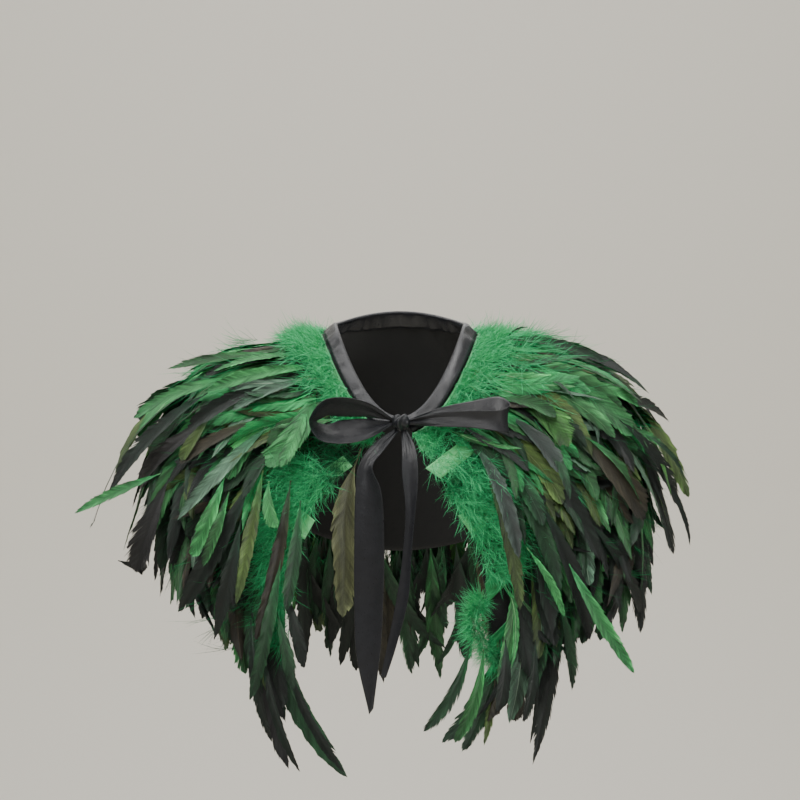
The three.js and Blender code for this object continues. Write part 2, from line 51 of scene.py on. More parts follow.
# Sections of the cape at distances down from the neck edge.
SECTION_COLUMNS = [
    "down", "half_width", "front_depth", "back_depth", "side_z",
    "front_z", "back_z", "left_edge", "right_edge",
]
SECTIONS = np.array([
    [0, 64, 93, 56, 11, -82, 25, 5, 5],
    [20, 77, 103, 67, 0, -100, 8, 17, 12],
    [60, 113, 117, 92, -17, -143, -30, 43, 29],
    [120, 163, 126, 112, -37, -208, -88, 82, 60],
    [180, 196, 130, 123, -66, -270, -146, 101, 79],
    [240, 213, 132, 129, -102, -326, -204, 109, 84],
    [300, 222, 135, 133, -148, -382, -260, 104, 78],
    [360, 224, 138, 136, -197, -438, -316, 86, 60],
    [440, 222, 140, 138, -262, -515, -390, 56, 30],
], dtype=float)

# Soft folds of the cloth: place around, width, depth at the hem.
FOLDS = [
    (-0.76, 0.07, 5), (-0.55, 0.06, -4), (-0.34, 0.08, 7), (-0.12, 0.07, -4),
    (0.07, 0.08, 6), (0.29, 0.06, -5), (0.47, 0.07, 5), (0.71, 0.08, 6),
]
HEM_DOWN = 262.0
BAND_WIDTH = 18.0
TAPE_WIDTH = 20.0
# How far the tapes and the feathers' roots stand off the cloth.
TAPE_HEIGHT = 2.05

# Rows of trim: tape's place down, feathers in the CAD row, length, length at the front,
# how much shorter they are over the arms, lift.
ROWS = [
    dict(down=20, count=36, length=150, front_length=128, arm_trim=0, lift=0.36),
    dict(down=64, count=39, length=160, front_length=135, arm_trim=0, lift=0.33),
    dict(down=124, count=42, length=164, front_length=132, arm_trim=0, lift=0.31),
    dict(down=182, count=42, length=162, front_length=122, arm_trim=6, lift=0.26),
    dict(down=238, count=42, length=150, front_length=100, arm_trim=38, lift=0.18),
]
# Places around: where the front begins, and the arms with how far they reach.
FRONT_STARTS = 0.6
ARM_TRIM_AROUND = 0.8
ARM_TRIM_REACH = 0.14

# Long feathers: row, place around, length, lift, sway.
LONG_FEATHERS = [
    (0, -0.56, 170, 0.38, 0), (1, -0.54, 185, 0.44, 0), (2, -0.55, 205, 0.56, 0),
    (2, 0.53, 178, 0.42, 0), (3, -0.54, 172, 0.42, 0), (3, 0.55, 170, 0.36, 0),
    (4, 0.66, 160, 0.2, 0.3), (4, -0.98, 92, 0.14, -2.4), (4, -0.93, 122, 0.18, -0.6),
    (4, 0.98, 54, 0.14, 2.2), (4, 0.86, 140, 0.18, 0.4),
]


def linear(colour):
    """Display colours, 0 to 255, as linear ones."""
    c = np.array(colour) / 255.0
    return np.where(c <= 0.04045, c / 12.92, ((c + 0.055) / 1.055) ** 2.4)


# Feather colours, 0 to 255: near the root, along the blade, at the tip, and of the shaft.
PLUMAGE = {
    "bright": [(42, 150, 82), (62, 140, 78), (54, 128, 74), (130, 182, 128)],
    "mid": [(36, 128, 66), (46, 100, 54), (38, 82, 48), (78, 124, 78)],
    "deep": [(26, 96, 52), (28, 64, 38), (22, 48, 32), (46, 76, 52)],
    "dark": [(18, 52, 34), (18, 30, 23), (13, 19, 16), (10, 13, 12)],
    "brown": [(34, 70, 40), (54, 50, 36), (38, 36, 28), (70, 58, 42)],
    "olive": [(48, 116, 56), (72, 94, 46), (54, 74, 40), (96, 112, 66)],
    "grey": [(52, 116, 78), (80, 112, 90), (60, 90, 72), (140, 166, 140)],
    "emerald": [(44, 178, 98), (40, 150, 80), (44, 126, 70), (70, 160, 96)],
    "yellow": [(40, 122, 56), (54, 104, 44), (50, 98, 40), (94, 134, 70)],
    "charcoal": [(34, 46, 40), (42, 42, 42), (34, 35, 35), (24, 24, 24)],
    "slate": [(40, 78, 56), (47, 59, 53), (40, 51, 47), (128, 148, 138)],
    "coal": [(26, 34, 30), (29, 29, 29), (27, 27, 27), (18, 18, 18)],
    "straw": [(118, 122, 92), (88, 92, 62), (70, 76, 50), (140, 142, 112)],
}
FAMILIES = list(PLUMAGE)
# How often each colour but the last three comes in a row, in the order of the table above.
ROW_MIX = [
    (0.12, 0.22, 0.17, 0.08, 0.04, 0.07, 0.07, 0.20, 0.02, 0.01),
    (0.09, 0.20, 0.24, 0.18, 0.06, 0.08, 0.06, 0.06, 0.02, 0.01),
    (0.06, 0.16, 0.27, 0.28, 0.08, 0.07, 0.04, 0.01, 0.02, 0.01),
    (0.03, 0.12, 0.27, 0.38, 0.09, 0.06, 0.02, 0.00, 0.01, 0.02),
    (0.02, 0.07, 0.24, 0.50, 0.09, 0.04, 0.01, 0.00, 0.00, 0.03),
]
DOWN_LIGHT = linear((86, 214, 142))
DOWN_DEEP = linear((28, 138, 80))


# The cape's surface.

def section(column, down):
    """A column's value at a distance down, on a smooth curve through the sections."""
    downs = SECTIONS[:, 0]
    values = SECTIONS[:, SECTION_COLUMNS.index(column)]
    last = len(downs) - 1
    before = np.maximum(np.arange(last + 1) - 1, 0)
    after = np.minimum(np.arange(last + 1) + 1, last)
    slopes = (values[after] - values[before]) / (downs[after] - downs[before])
    row = np.clip(np.searchsorted(downs, down, side="right") - 1, 0, last - 1)
    span = downs[row + 1] - downs[row]
    t = (down - downs[row]) / span
    curve = (
        (2 * t**3 - 3 * t**2 + 1) * values[row]
        + (t**3 - 2 * t**2 + t) * span * slopes[row]
        + (3 * t**2 - 2 * t**3) * values[row + 1]
        + (t**3 - t**2) * span * slopes[row + 1]
    )
    return np.where(down < downs[0], values[0] + slopes[0] * (down - downs[0]), curve)


def surface(around, down):
    """Points of the cape's middle surface; around runs from -1 to 1 over the back."""
    around, down = np.broadcast_arrays(np.asarray(around, float), np.asarray(down, float))
    half_width = section("half_width", down)
    edge = np.where(around < 0, section("left_edge", down), section("right_edge", down))
    edge_angle = np.pi - np.arcsin(np.minimum(edge / half_width, 1))
    share = np.abs(around)
    forward = (share - 0.5) / 0.5
    angle = np.where(share > 0.5, np.pi / 2 + forward * (edge_angle - np.pi / 2), share * np.pi)
    sine, cosine = np.sin(angle), np.cos(angle)
    depth = np.where(cosine > 0, section("back_depth", down), section("front_depth", down))
    level = np.where(cosine > 0, section("back_z", down), section("front_z", down))
    out = sum(d * np.exp(-(((around - a) / w) ** 2)) for a, w, d in FOLDS)
    out = out * np.clip(down / HEM_DOWN, 0, 1.3) ** 2
    return np.stack([
        np.sign(around) * sine * (half_width + out),
        cosine * (depth + out),
        section("side_z", down) * sine**2 + level * cosine**2,
    ], -1)


def unit(vectors):
    return vectors / np.maximum(np.linalg.norm(vectors, axis=-1, keepdims=True), 1e-9)


def surface_frame(around, down):
    """Sideways direction and outward normal of the surface."""
    side = unit(surface(around + 0.004, down) - surface(around - 0.004, down))
    fall = unit(surface(around, down + 1) - surface(around, down - 1))
    return side, unit(np.cross(side, fall))


def raised(around, down, height):
    _, normal = surface_frame(around, down)
    return surface(around, down) + normal * np.asarray(height)[..., None]


# Meshes.

CLOTH_MAP = "cloth"


def make_mesh(name, points, faces, material, attributes=None, uv=None):
    """A piece from points in mm and faces of three or four corners, which rides on the root."""
    me = bpy.data.meshes.new(name)
    corners = np.concatenate([np.asarray(f, np.int32).ravel() for f in faces if len(f)])
    sizes = np.concatenate([np.full(len(f), np.shape(f)[1], np.int32) for f in faces if len(f)])
    starts = np.concatenate([[0], np.cumsum(sizes)[:-1]]).astype(np.int32)
    me.vertices.add(len(points))
    me.vertices.foreach_set("co", (np.asarray(points) * MM).astype(np.float32).ravel())
    me.loops.add(len(corners))
    me.loops.foreach_set("vertex_index", corners)
    me.polygons.add(len(sizes))
    me.polygons.foreach_set("loop_start", starts)
    me.polygons.foreach_set("loop_total", sizes)
    me.polygons.foreach_set("use_smooth", np.ones(len(sizes), bool))
    for key, (kind, values) in (attributes or {}).items():
        values = np.asarray(values, np.float32)
        field = "color" if kind == "FLOAT_COLOR" else "vector"
        if kind == "FLOAT_COLOR":
            values = np.concatenate([values, np.ones((len(values), 1), np.float32)], 1)
        me.attributes.new(key, kind, "POINT").data.foreach_set(field, values.ravel())
    if uv is not None:
        layer = me.uv_layers.new(name=CLOTH_MAP)
        layer.uv.foreach_set("vector", np.asarray(uv, np.float32)[corners].ravel())
    me.update(calc_edges=True)
    me.validate()
    me.materials.append(material)
    ob = bpy.data.objects.new(name, me)
    bpy.context.scene.collection.objects.link(ob)
    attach(ob, "root")
    return ob


def grid_normals(grid):
    across = np.gradient(grid, axis=1)
    along = np.gradient(grid, axis=0)
    return unit(np.cross(across, along))


def sheet_mesh(name, grid, wall, material):
    """A thin closed sheet round a grid of middle points, with a map in metres."""
    rows, columns = grid.shape[:2]
    normals = grid_normals(grid)
    points = np.concatenate([
        (grid + normals * wall / 2).reshape(-1, 3),
        (grid - normals * wall / 2).reshape(-1, 3),
    ])
    n = rows * columns
    ids = np.arange(n).reshape(rows, columns)
    a, b, c, d = ids[:-1, :-1], ids[1:, :-1], ids[1:, 1:], ids[:-1, 1:]
    front = np.stack([a, b, c, d], -1).reshape(-1, 4)
    back = np.stack([a, d, c, b], -1).reshape(-1, 4) + n
    rim = np.concatenate([ids[0, :-1], ids[:-1, -1], ids[-1, :0:-1], ids[:0:-1, 0]])
    after = np.roll(rim, -1)
    walls = np.stack([rim, after, after + n, rim + n], -1)
    steps = [np.linalg.norm(np.diff(grid, axis=x), axis=-1).mean(1 - x) for x in (0, 1)]
    run = [np.concatenate([[0], np.cumsum(s)]) * MM for s in steps]
    v, u = np.meshgrid(run[0], run[1], indexing="ij")
    uv = np.stack([u.ravel(), v.ravel()], -1)
    return make_mesh(name, points, [front, back, walls], material, uv=np.concatenate([uv, uv]))


def smooth_noise(shape, cells, rng):
    """Soft random waves between -1 and 1 on a grid, with that many cells along each side."""
    out = np.zeros(shape)
    for axis_cells in (cells, [2 * c for c in cells]):
        knots = rng.uniform(-1, 1, (axis_cells[0] + 2, axis_cells[1] + 2))
        y = np.linspace(0, axis_cells[0], shape[0])
        x = np.linspace(0, axis_cells[1], shape[1])
        iy, ix = y.astype(int), x.astype(int)
        fy, fx = y - iy, x - ix
        fy, fx = (fy * fy * (3 - 2 * fy))[:, None], (fx * fx * (3 - 2 * fx))[None, :]
        top = knots[iy][:, ix] * (1 - fx) + knots[iy][:, ix + 1] * fx
        low = knots[iy + 1][:, ix] * (1 - fx) + knots[iy + 1][:, ix + 1] * fx
        out += (top * (1 - fy) + low * fy) * (1.0 if axis_cells is cells else 0.45)
    return out / 1.2


def catmull(points, samples):
    """Centripetal curve through points, at even steps of its parameter."""
    points = np.asarray(points, float)
    first = 2 * points[0] - points[1]
    last = 2 * points[-1] - points[-2]
    p = np.concatenate([[first], points, [last]])
    spans = len(points) - 1
    at = np.linspace(0, spans, samples)
    span = np.minimum(at.astype(int), spans - 1)
    t = (at - span)[:, None]
    p0, p1, p2, p3 = p[span], p[span + 1], p[span + 2], p[span + 3]
    d1 = np.linalg.norm(p1 - p0, axis=1, keepdims=True) ** 0.5
    d2 = np.linalg.norm(p2 - p1, axis=1, keepdims=True) ** 0.5
    d3 = np.linalg.norm(p3 - p2, axis=1, keepdims=True) ** 0.5
    m1 = ((p1 - p0) / d1 - (p2 - p0) / (d1 + d2) + (p2 - p1) / d2) * d2
    m2 = ((p2 - p1) / d2 - (p3 - p1) / (d2 + d3) + (p3 - p2) / d3) * d2
    return (
        (2 * t**3 - 3 * t**2 + 1) * p1 + (t**3 - 2 * t**2 + t) * m1
        + (3 * t**2 - 2 * t**3) * p2 + (t**3 - t**2) * m2
    )


# Materials.

def node_material(name):
    mat = bpy.data.materials.new(name)
    mat.use_nodes = True
    return mat, mat.node_tree, mat.node_tree.nodes["Principled BSDF"]


def feed(node, values):
    """Sets inputs, by name or number, to constants or links them to outputs of other nodes."""
    for key, value in values.items():
        if isinstance(value, bpy.types.NodeSocket):
            node.id_data.links.new(value, node.inputs[key])
        elif isinstance(value, np.ndarray):
            node.inputs[key].default_value = (*value, 1)
        else:
            node.inputs[key].default_value = value


def new_node(tree, kind, values, **settings):
    node = tree.nodes.new("ShaderNode" + kind)
    for name, value in settings.items():
        setattr(node, name, value)
    feed(node, values)
    return node


def times(tree, a, b):
    return new_node(tree, "Math", {0: a, 1: b}, operation="MULTIPLY").outputs[0]


def mixed(tree, kind, factor, a, b):
    """A colour mix of two outputs or linear colours."""
    node = new_node(tree, "Mix", {}, data_type="RGBA", blend_type=kind)
    feed(node, {0: factor, 6: a, 7: b})
    return node.outputs[2]


def noise(tree, vector, scale, detail=3.0, rough=0.5):
    values = {"Vector": vector, "Scale": scale, "Detail": detail, "Roughness": rough}
    return new_node(tree, "TexNoise", values).outputs["Fac"]


def wave(tree, vector, scale, direction, distortion):
    values = {"Vector": vector, "Scale": scale, "Distortion": distortion}
    return new_node(tree, "TexWave", values, wave_type="BANDS", bands_direction=direction).outputs["Fac"]


def spread(tree, value, low, high):
    """A value from 0 to 1 laid out between two numbers."""
    return new_node(tree, "MapRange", {"Value": value, "To Min": low, "To Max": high}).outputs["Result"]


def stretched(tree, vector, scale):
    return new_node(tree, "Mapping", {"Vector": vector, "Scale": scale}).outputs[0]


def tinted(tree, tone):
    """The colours kept at the points, made lighter or darker by a tone."""
    tint = attribute(tree, "tint", "Color")
    return new_node(tree, "VectorMath", {0: tint, "Scale": tone}, operation="SCALE").outputs[0]


def cloth_map(tree):
    return new_node(tree, "UVMap", {}, uv_map=CLOTH_MAP).outputs["UV"]


def bump(tree, height, distance, strength):
    values = {"Height": height, "Strength": strength, "Distance": distance}
    return new_node(tree, "Bump", values).outputs["Normal"]


def attribute(tree, name, output):
    return new_node(tree, "Attribute", {}, attribute_name=name).outputs[output]


def feather_material():
    """Glossy blades: fine barb lines over the colours kept at the points."""
    mat, tree, shader = node_material("feather_blade")
    vane = attribute(tree, "vane", "Vector")
    lines = wave(tree, vane, 0.9, "Y", 1.2)
    streaks = noise(tree, vane, 0.55, 4.0, 0.65)
    long_streaks = noise(tree, stretched(tree, vane, (1.0, 0.045, 5.0)), 1.6, 3.0, 0.6)
    tone = times(tree, spread(tree, lines, 0.72, 1.16), spread(tree, streaks, 0.1, 1.9))
    tone = times(tree, tone, spread(tree, long_streaks, 0.3, 1.7))
    feed(shader, {
        "Base Color": tinted(tree, tone), "Roughness": spread(tree, streaks, 0.3, 0.56),
        "Specular IOR Level": 0.42, "Normal": bump(tree, lines, 0.00012, 0.7),
    })
    return mat


def down_material():
    """Soft down: matt, with a light sheen, in the colours kept at the points."""
    mat, tree, shader = node_material("feather_down")
    tone = spread(tree, noise(tree, attribute(tree, "vane", "Vector"), 0.8, 2.0), 0.78, 1.22)
    feed(shader, {
        "Base Color": tinted(tree, tone), "Roughness": 0.85, "Specular IOR Level": 0.2,
        "Sheen Weight": 0.35, "Sheen Roughness": 0.5, "Sheen Tint": (0.5, 1.0, 0.7, 1),
    })
    return mat


def satin_material(name, light, dark, rough, sheen, sheen_tint):
    """Satin ribbon: fine warp lines, soft creases with painted shade in their hollows and painted
    highlight on their ridges, and streaks of painted sheen along the weave.
    """
    mat, tree, shader = node_material(name)
    vector = cloth_map(tree)
    threads = wave(tree, vector, 900.0, "X", 0.6)
    crease_relief_and_shade = noise(tree, vector, 90.0, 3.0, 0.55)
    sheen_and_gloss_streaks = noise(tree, stretched(tree, vector, (1.0, 0.18, 1.0)), 1400.0, 2.0)
    # Painted shade and highlight: the colour follows the creases' relief, dark in the hollows and light
    # on the ridges.
    colour = mixed(tree, "MIX", crease_relief_and_shade, linear(dark), linear(light))
    relief = new_node(tree, "Math", {0: times(tree, threads, 0.12), 1: crease_relief_and_shade}, operation="ADD")
    feed(shader, {
        # Painted sheen: streaks along the weave lighten and darken the colour; they also vary the
        # roughness.
        "Base Color": mixed(tree, "MULTIPLY", 0.35, colour, spread(tree, sheen_and_gloss_streaks, 0.6, 1.3)),
        "Roughness": spread(tree, sheen_and_gloss_streaks, rough - 0.06, rough + 0.08),
        "Specular IOR Level": 0.5, "Anisotropic": 0.35, "Sheen Weight": sheen,
        "Sheen Roughness": 0.35, "Sheen Tint": (*sheen_tint, 1),
        "Normal": bump(tree, relief.outputs[0], 0.0008, 0.6),
    })
    return mat


def woven_material():
    """Black plain weave of the foundation."""
    mat, tree, shader = node_material("foundation_weave")
    vector = cloth_map(tree)
    weave = times(tree, *(wave(tree, vector, 620.0, direction, 0.4) for direction in "XY"))
    lint = noise(tree, vector, 240.0, 4.0, 0.7)
    colour = mixed(tree, "MIX", weave, linear((10, 11, 12)), linear((34, 35, 37)))
    feed(shader, {
        "Base Color": mixed(tree, "MULTIPLY", 0.4, colour, spread(tree, lint, 0.5, 1.5)),
        "Roughness": spread(tree, lint, 0.8, 0.95), "Sheen Weight": 0.15,
        "Normal": bump(tree, weave, 0.0003, 0.8),
    })
    return mat


blade_material = feather_material()
fluff_material = down_material()
# Each satin's two colours, light then dark, are its painted highlight on crease ridges and painted shade
# in crease hollows.
ribbon_material = satin_material(
    "ribbon_satin", (35, 36, 41), (17, 18, 21), 0.29, 0.05, (0.8, 0.88, 1.0))
tape_material = satin_material(
    "header_tape_satin", (150, 238, 166), (80, 196, 116), 0.32, 0.25, (0.8, 1, 0.85))
# A darker copy of the tape's satin, as painted shade, for the tapes under the down and the feathers.
shaded_tape_material = satin_material(
    "shaded_tape_satin", (54, 168, 96), (28, 126, 66), 0.4, 0.2, (0.8, 1, 0.85))
cloth_material = woven_material()


# Feathers.

# Barbs: their lean off the shaft in degrees, how the blade is arched across, how far out the
# barbs are joined, and what share of them is split and of blades is pale at the rim.
BARB_LEAN = (20, 31)
CAMBER = (0.1, 0.34)
JOINED = 0.52
SPLIT_SHARE = 0.06
PALE_SHARE = 0.35
ROUNDNESS = (1.3, 2.7)
# The shaft's stations, its thickness at the tip and how much more at the root, in mm.
SHAFT_STATIONS = 11
SHAFT_TIP = 0.15
SHAFT_ROOT = 0.62


def vane_profile(share, roundness):
    """Half width of a blade along it, as a share of its widest."""
    rise = np.clip((share - 0.04) / 0.3, 0, 1) ** 0.8
    fall = np.clip((share - 0.52) / 0.48, 0, 1)
    return (0.12 + 0.88 * rise) * np.maximum(1 - fall**roundness, 0) ** 0.9


def soft_lines(count, stations, knots, rng):
    """Random values along each blade, soft between a few knots."""
    values = rng.normal(0, 1, (count, knots + 1))
    at = np.linspace(0, knots, stations)
    before = np.minimum(at.astype(int), knots - 1)
    return values[:, before] * (1 - (at - before)) + values[:, before + 1] * (at - before)


def blades(middles, sides, half_width, family, vane_start, rng, roundness=None):
    """Blades as parted barbs on both sides of a shaft.

    middles and sides hold a line of stations for each blade. Each barb leaves the shaft
    forward, is joined to its neighbours along its inner half and ends in a free tooth.
    The parts are points, quads, no triangles, tints and places on the vane.
    """
    count, stations = middles.shape[:2]
    steps = stations - 1
    share = np.linspace(0, 1, stations)[None, :]
    if roundness is None:
        roundness = rng.uniform(*ROUNDNESS, count)
    tangents = unit(np.gradient(middles, axis=1))
    reach = np.linalg.norm(np.diff(middles, axis=1), axis=-1).sum(1)
    sides = unit(sides - tangents * (sides * tangents).sum(-1, keepdims=True))
    normals = np.cross(sides, tangents)
    flip = np.sign((normals * normals[:, :1]).sum(-1, keepdims=True) + 1e-9)
    normals = normals * flip
    colours = np.array([linear(PLUMAGE[FAMILIES[f]]) for f in family])
    shade = rng.uniform(0.72, 1.25, (count, 1, 1))
    root, body, tip, shaft = (colours[:, k, None, :] for k in range(4))
    t = share[..., None]
    early = np.clip(t / 0.4, 0, 1)
    late = np.clip((t - 0.6) / 0.4, 0, 1) ** 1.5
    ramp = root + (body - root) * early * early * (3 - 2 * early)
    ramp = (ramp + (tip - ramp) * late) * shade
    phase = rng.uniform(0, 6.28, (count, 1, 1))
    ramp = ramp * (1 + 0.14 * np.sin(7 * t + phase))

    points, tints, vanes, quads = [], [], [], []
    offset = 0

    def add(block, tint, vane):
        nonlocal offset
        start = offset
        points.append(block.reshape(-1, 3))
        tints.append(np.broadcast_to(tint, block.shape).reshape(-1, 3))
        vanes.append(vane.reshape(-1, 3))
        offset += block.size // 3
        return start + np.arange(block.size // 3).reshape(block.shape[:-1])

    along = share * reach[:, None]
    seed = rng.uniform(0, 50, (count, 1))
    width = half_width[:, None] * vane_profile(share, roundness[:, None])
    width = width * np.clip((share - vane_start[:, None]) / 0.1 + 0.15, 0.15, 1)
    ripple = rng.normal(0, 1, (count, stations)) * 0.25
    camber = rng.uniform(*CAMBER, (count, 1))
    lean = np.radians(rng.uniform(*BARB_LEAN, (count, 1)))
    fray = rng.uniform(0.4, 1.0, (count, 1, 1)) ** 2
    forward = 1 / np.tan(lean)
    blank = np.zeros_like(along)
    centre = add(middles, ramp * 0.82, np.stack([blank + seed, along, blank], -1))
    for sign in (-1, 1):
        uneven = 1 + 0.07 * rng.normal(0, 1, (count, stations)) + 0.05 * np.sin(
            share * rng.uniform(5, 13, (count, 1)) + rng.uniform(0, 6.28, (count, 1)))
        extent = width * np.clip(uneven, 0.6, 1.25)
        room = (1 - share) * reach[:, None]
        ahead = np.clip(room * 0.96 + 0.4 - 0.55 * extent, 0, extent * forward)

        def out(part, drop, ahead=ahead, extent=extent, sign=sign):
            return (
                middles + sides * (sign * extent * part)[..., None]
                + tangents * (ahead * part * (0.75 + 0.25 * part))[..., None]
                - normals * ((extent * camber * part * part) + drop)[..., None]
            )

        clumps = soft_lines(count, stations, 12, rng)[..., None]
        streak = np.clip(1 + 0.28 * rng.normal(0, 1, (count, stations, 1)) + 0.24 * clumps, 0.35, 2.1)
        full = out(1.0, ripple)
        inner = out(JOINED, ripple * 0.5)
        half = add(inner, ramp * streak, np.stack([sign * 0.5 + blank + seed, along, blank + 0.5], -1))
        notch = rng.uniform(0.08, 0.7, (count, steps, 1)) * fray
        split = rng.random((count, steps, 1)) < SPLIT_SHARE
        notch = np.where(split, rng.uniform(0.5, 0.95, notch.shape), notch)
        lower = full[:, :-1] + (inner[:, :-1] - full[:, :-1]) * notch
        upper = full[:, 1:] + tangents[:, 1:] * rng.uniform(-0.5, 2.2, notch.shape) * fray
        pale_edge = rng.random((count, 1, 1)) < PALE_SHARE
        pale, plain = rng.uniform(1.5, 2.3, (count, 1, 1)), rng.uniform(0.65, 1.15, (count, 1, 1))
        rim = np.where(pale_edge, pale, plain)
        edge_tint = (ramp * streak)[:, 1:] * rim
        edge_vane = np.stack([sign + blank + seed, along, blank + 1], -1)
        low = add(lower, edge_tint, edge_vane[:, :-1])
        high = add(upper, edge_tint, edge_vane[:, 1:])
        near = np.stack([centre[:, :-1], centre[:, 1:], half[:, 1:], half[:, :-1]], -1)
        far = np.stack([half[:, :-1], half[:, 1:], high, low], -1)
        for block in (near, far):
            quads.append(block.reshape(-1, 4)[:, ::sign])
    # The shaft is a low ridge that thins towards the tip.
    pick = np.unique(np.linspace(0, stations - 1, SHAFT_STATIONS).astype(int))
    thick = (SHAFT_TIP + SHAFT_ROOT * (1 - share[:, pick])) * (half_width[:, None] / 10) ** 0.5
    ridge = middles[:, pick] + normals[:, pick] * (thick * 1.1)[..., None]
    left = middles[:, pick] - sides[:, pick] * thick[..., None] + normals[:, pick] * 0.08
    right = middles[:, pick] + sides[:, pick] * thick[..., None] + normals[:, pick] * 0.08
    stem = np.broadcast_to(shaft * shade, ridge.shape)
    stem_vane = np.stack([blank[:, pick] + seed, along[:, pick], blank[:, pick]], -1)
    rows = [add(block, stem, stem_vane) for block in (left, ridge, right)]
    for a, b in zip(rows[:-1], rows[1:]):
        quads.append(np.stack([a[:, :-1], a[:, 1:], b[:, 1:], b[:, :-1]], -1).reshape(-1, 4))
    points, quads, tints, vanes = map(np.concatenate, (points, quads, tints, vanes))
    return points, quads, np.zeros((0, 3), int), tints, vanes


def soft_piece(name, parts, material):
    """Parts of points, quads, triangles, tints and places on the vane, joined as one piece."""
    starts = np.cumsum([0] + [len(part[0]) for part in parts[:-1]])
    faces = [
        np.concatenate([part[kind] + start for part, start in zip(parts, starts)])
        for kind in (1, 2)
    ]
    points, tints, vanes = (np.concatenate([part[k] for part in parts]) for k in (0, 3, 4))
    return make_mesh(
        name, points, faces, material,
        attributes={"tint": ("FLOAT_COLOR", tints), "vane": ("FLOAT_VECTOR", vanes)},
    )


def variation(row, place, kind):
    """A number between -1 and 1, the same each time for a feather and what it varies."""
    wave_value = np.sin(row * 12.9898 + place * 78.233 + kind * 37.719) * 43758.5453
    return 2 * (wave_value - np.floor(wave_value)) - 1


def even_places(down, count):
    """Places around, evenly spread along a line at that distance down."""
    samples = np.linspace(-1, 1, 241)
    line = surface(samples, np.full(241, float(down)))
    run = np.concatenate([[0], np.cumsum(np.linalg.norm(np.diff(line, axis=0), axis=1))])
    return np.interp(run[-1] * (np.arange(count) + 0.5) / count, run, samples)


def smoothstep(value, low, high):
    t = np.clip((value - low) / (high - low), 0, 1)
    return t * t * (3 - 2 * t)


# Stations along a blade, how much of its root the tape hides, and layers of blades in a row.
STATIONS = 39
BURIED = 9.0
LAYERS = 6
FURTHEST_AROUND = 0.995
# Half widths of the blades: of the under layer, of the layers over it and of the slim ones.
UNDER_WIDTHS = (7.5, 11.0)
OVER_WIDTHS = (5.0, 10.0)
SLIM_WIDTHS = (2.4, 3.8)
SLIM_SHARE = 0.22
# How much the layers over the row vary: place and length as shares, sideways bend and slant
# in spacings with their limits, lift, curl of the tip in mm, roll and twist in radians.
PLACE_SPREAD = 0.4
LENGTH_SPREAD = (-0.22, 0.07)
SHORTER_EACH_LAYER = 0.075
BEND_SPREAD = dict(scale=1.0, limit=1.7)
SLANT_SPREAD = dict(scale=0.5, limit=0.9)
LIFT_SPREAD = 0.025
CURL_SPREAD = 3.5
ROLL_SPREAD = 0.26
TWIST_SPREAD = 0.4
# The blades of the upper rows stop here; down covers the front edges beyond it.
LAST_BLADE = [0.9, 0.9, 0.93, 0.97, 0.99]
# The upper two rows lie flatter on the left shoulder.
LEFT_SHOULDER = dict(around=-0.56, reach=0.15, drop=0.2)
# The upper three rows turn away from the front edges.
EDGE_TURN = 0.05


def feather_lines(row, around, reach, slope, drift, skew, rise, curl):
    """Middle lines of a row's feathers, with their sideways directions."""
    edge = ROWS[row]["down"] + TAPE_WIDTH
    share = np.linspace(0, 1, STATIONS)[None, :]
    distance = -BURIED + (reach[:, None] + BURIED) * share
    part = np.clip(distance, 0, None) / reach[:, None]
    place = around[:, None] + drift[:, None] * part**2 + skew[:, None] * part
    height = TAPE_HEIGHT + slope[:, None] * np.clip(distance, 0, None) * (1 - 0.22 * part)
    height = height + rise * smoothstep(part, 0, 0.15) + curl[:, None] * part**3
    side, normal = surface_frame(place, edge + distance)
    return surface(place, edge + distance) + normal * height[..., None], side


def rolled(middles, sides, roll, twist):
    """Turns the blades about their own line, more towards the tip by twist."""
    tangents = unit(np.gradient(middles, axis=1))
    sides = unit(sides - tangents * (sides * tangents).sum(-1, keepdims=True))
    over = np.cross(tangents, sides)
    angle = roll[:, None] + twist[:, None] * np.linspace(0, 1, middles.shape[1])[None, :]
    return sides * np.cos(angle)[..., None] + over * np.sin(angle)[..., None]


def limited(count, law, rng):
    """Random values of a normal spread, kept within its limit."""
    return np.clip(rng.normal(0, law["scale"], count), -law["limit"], law["limit"])


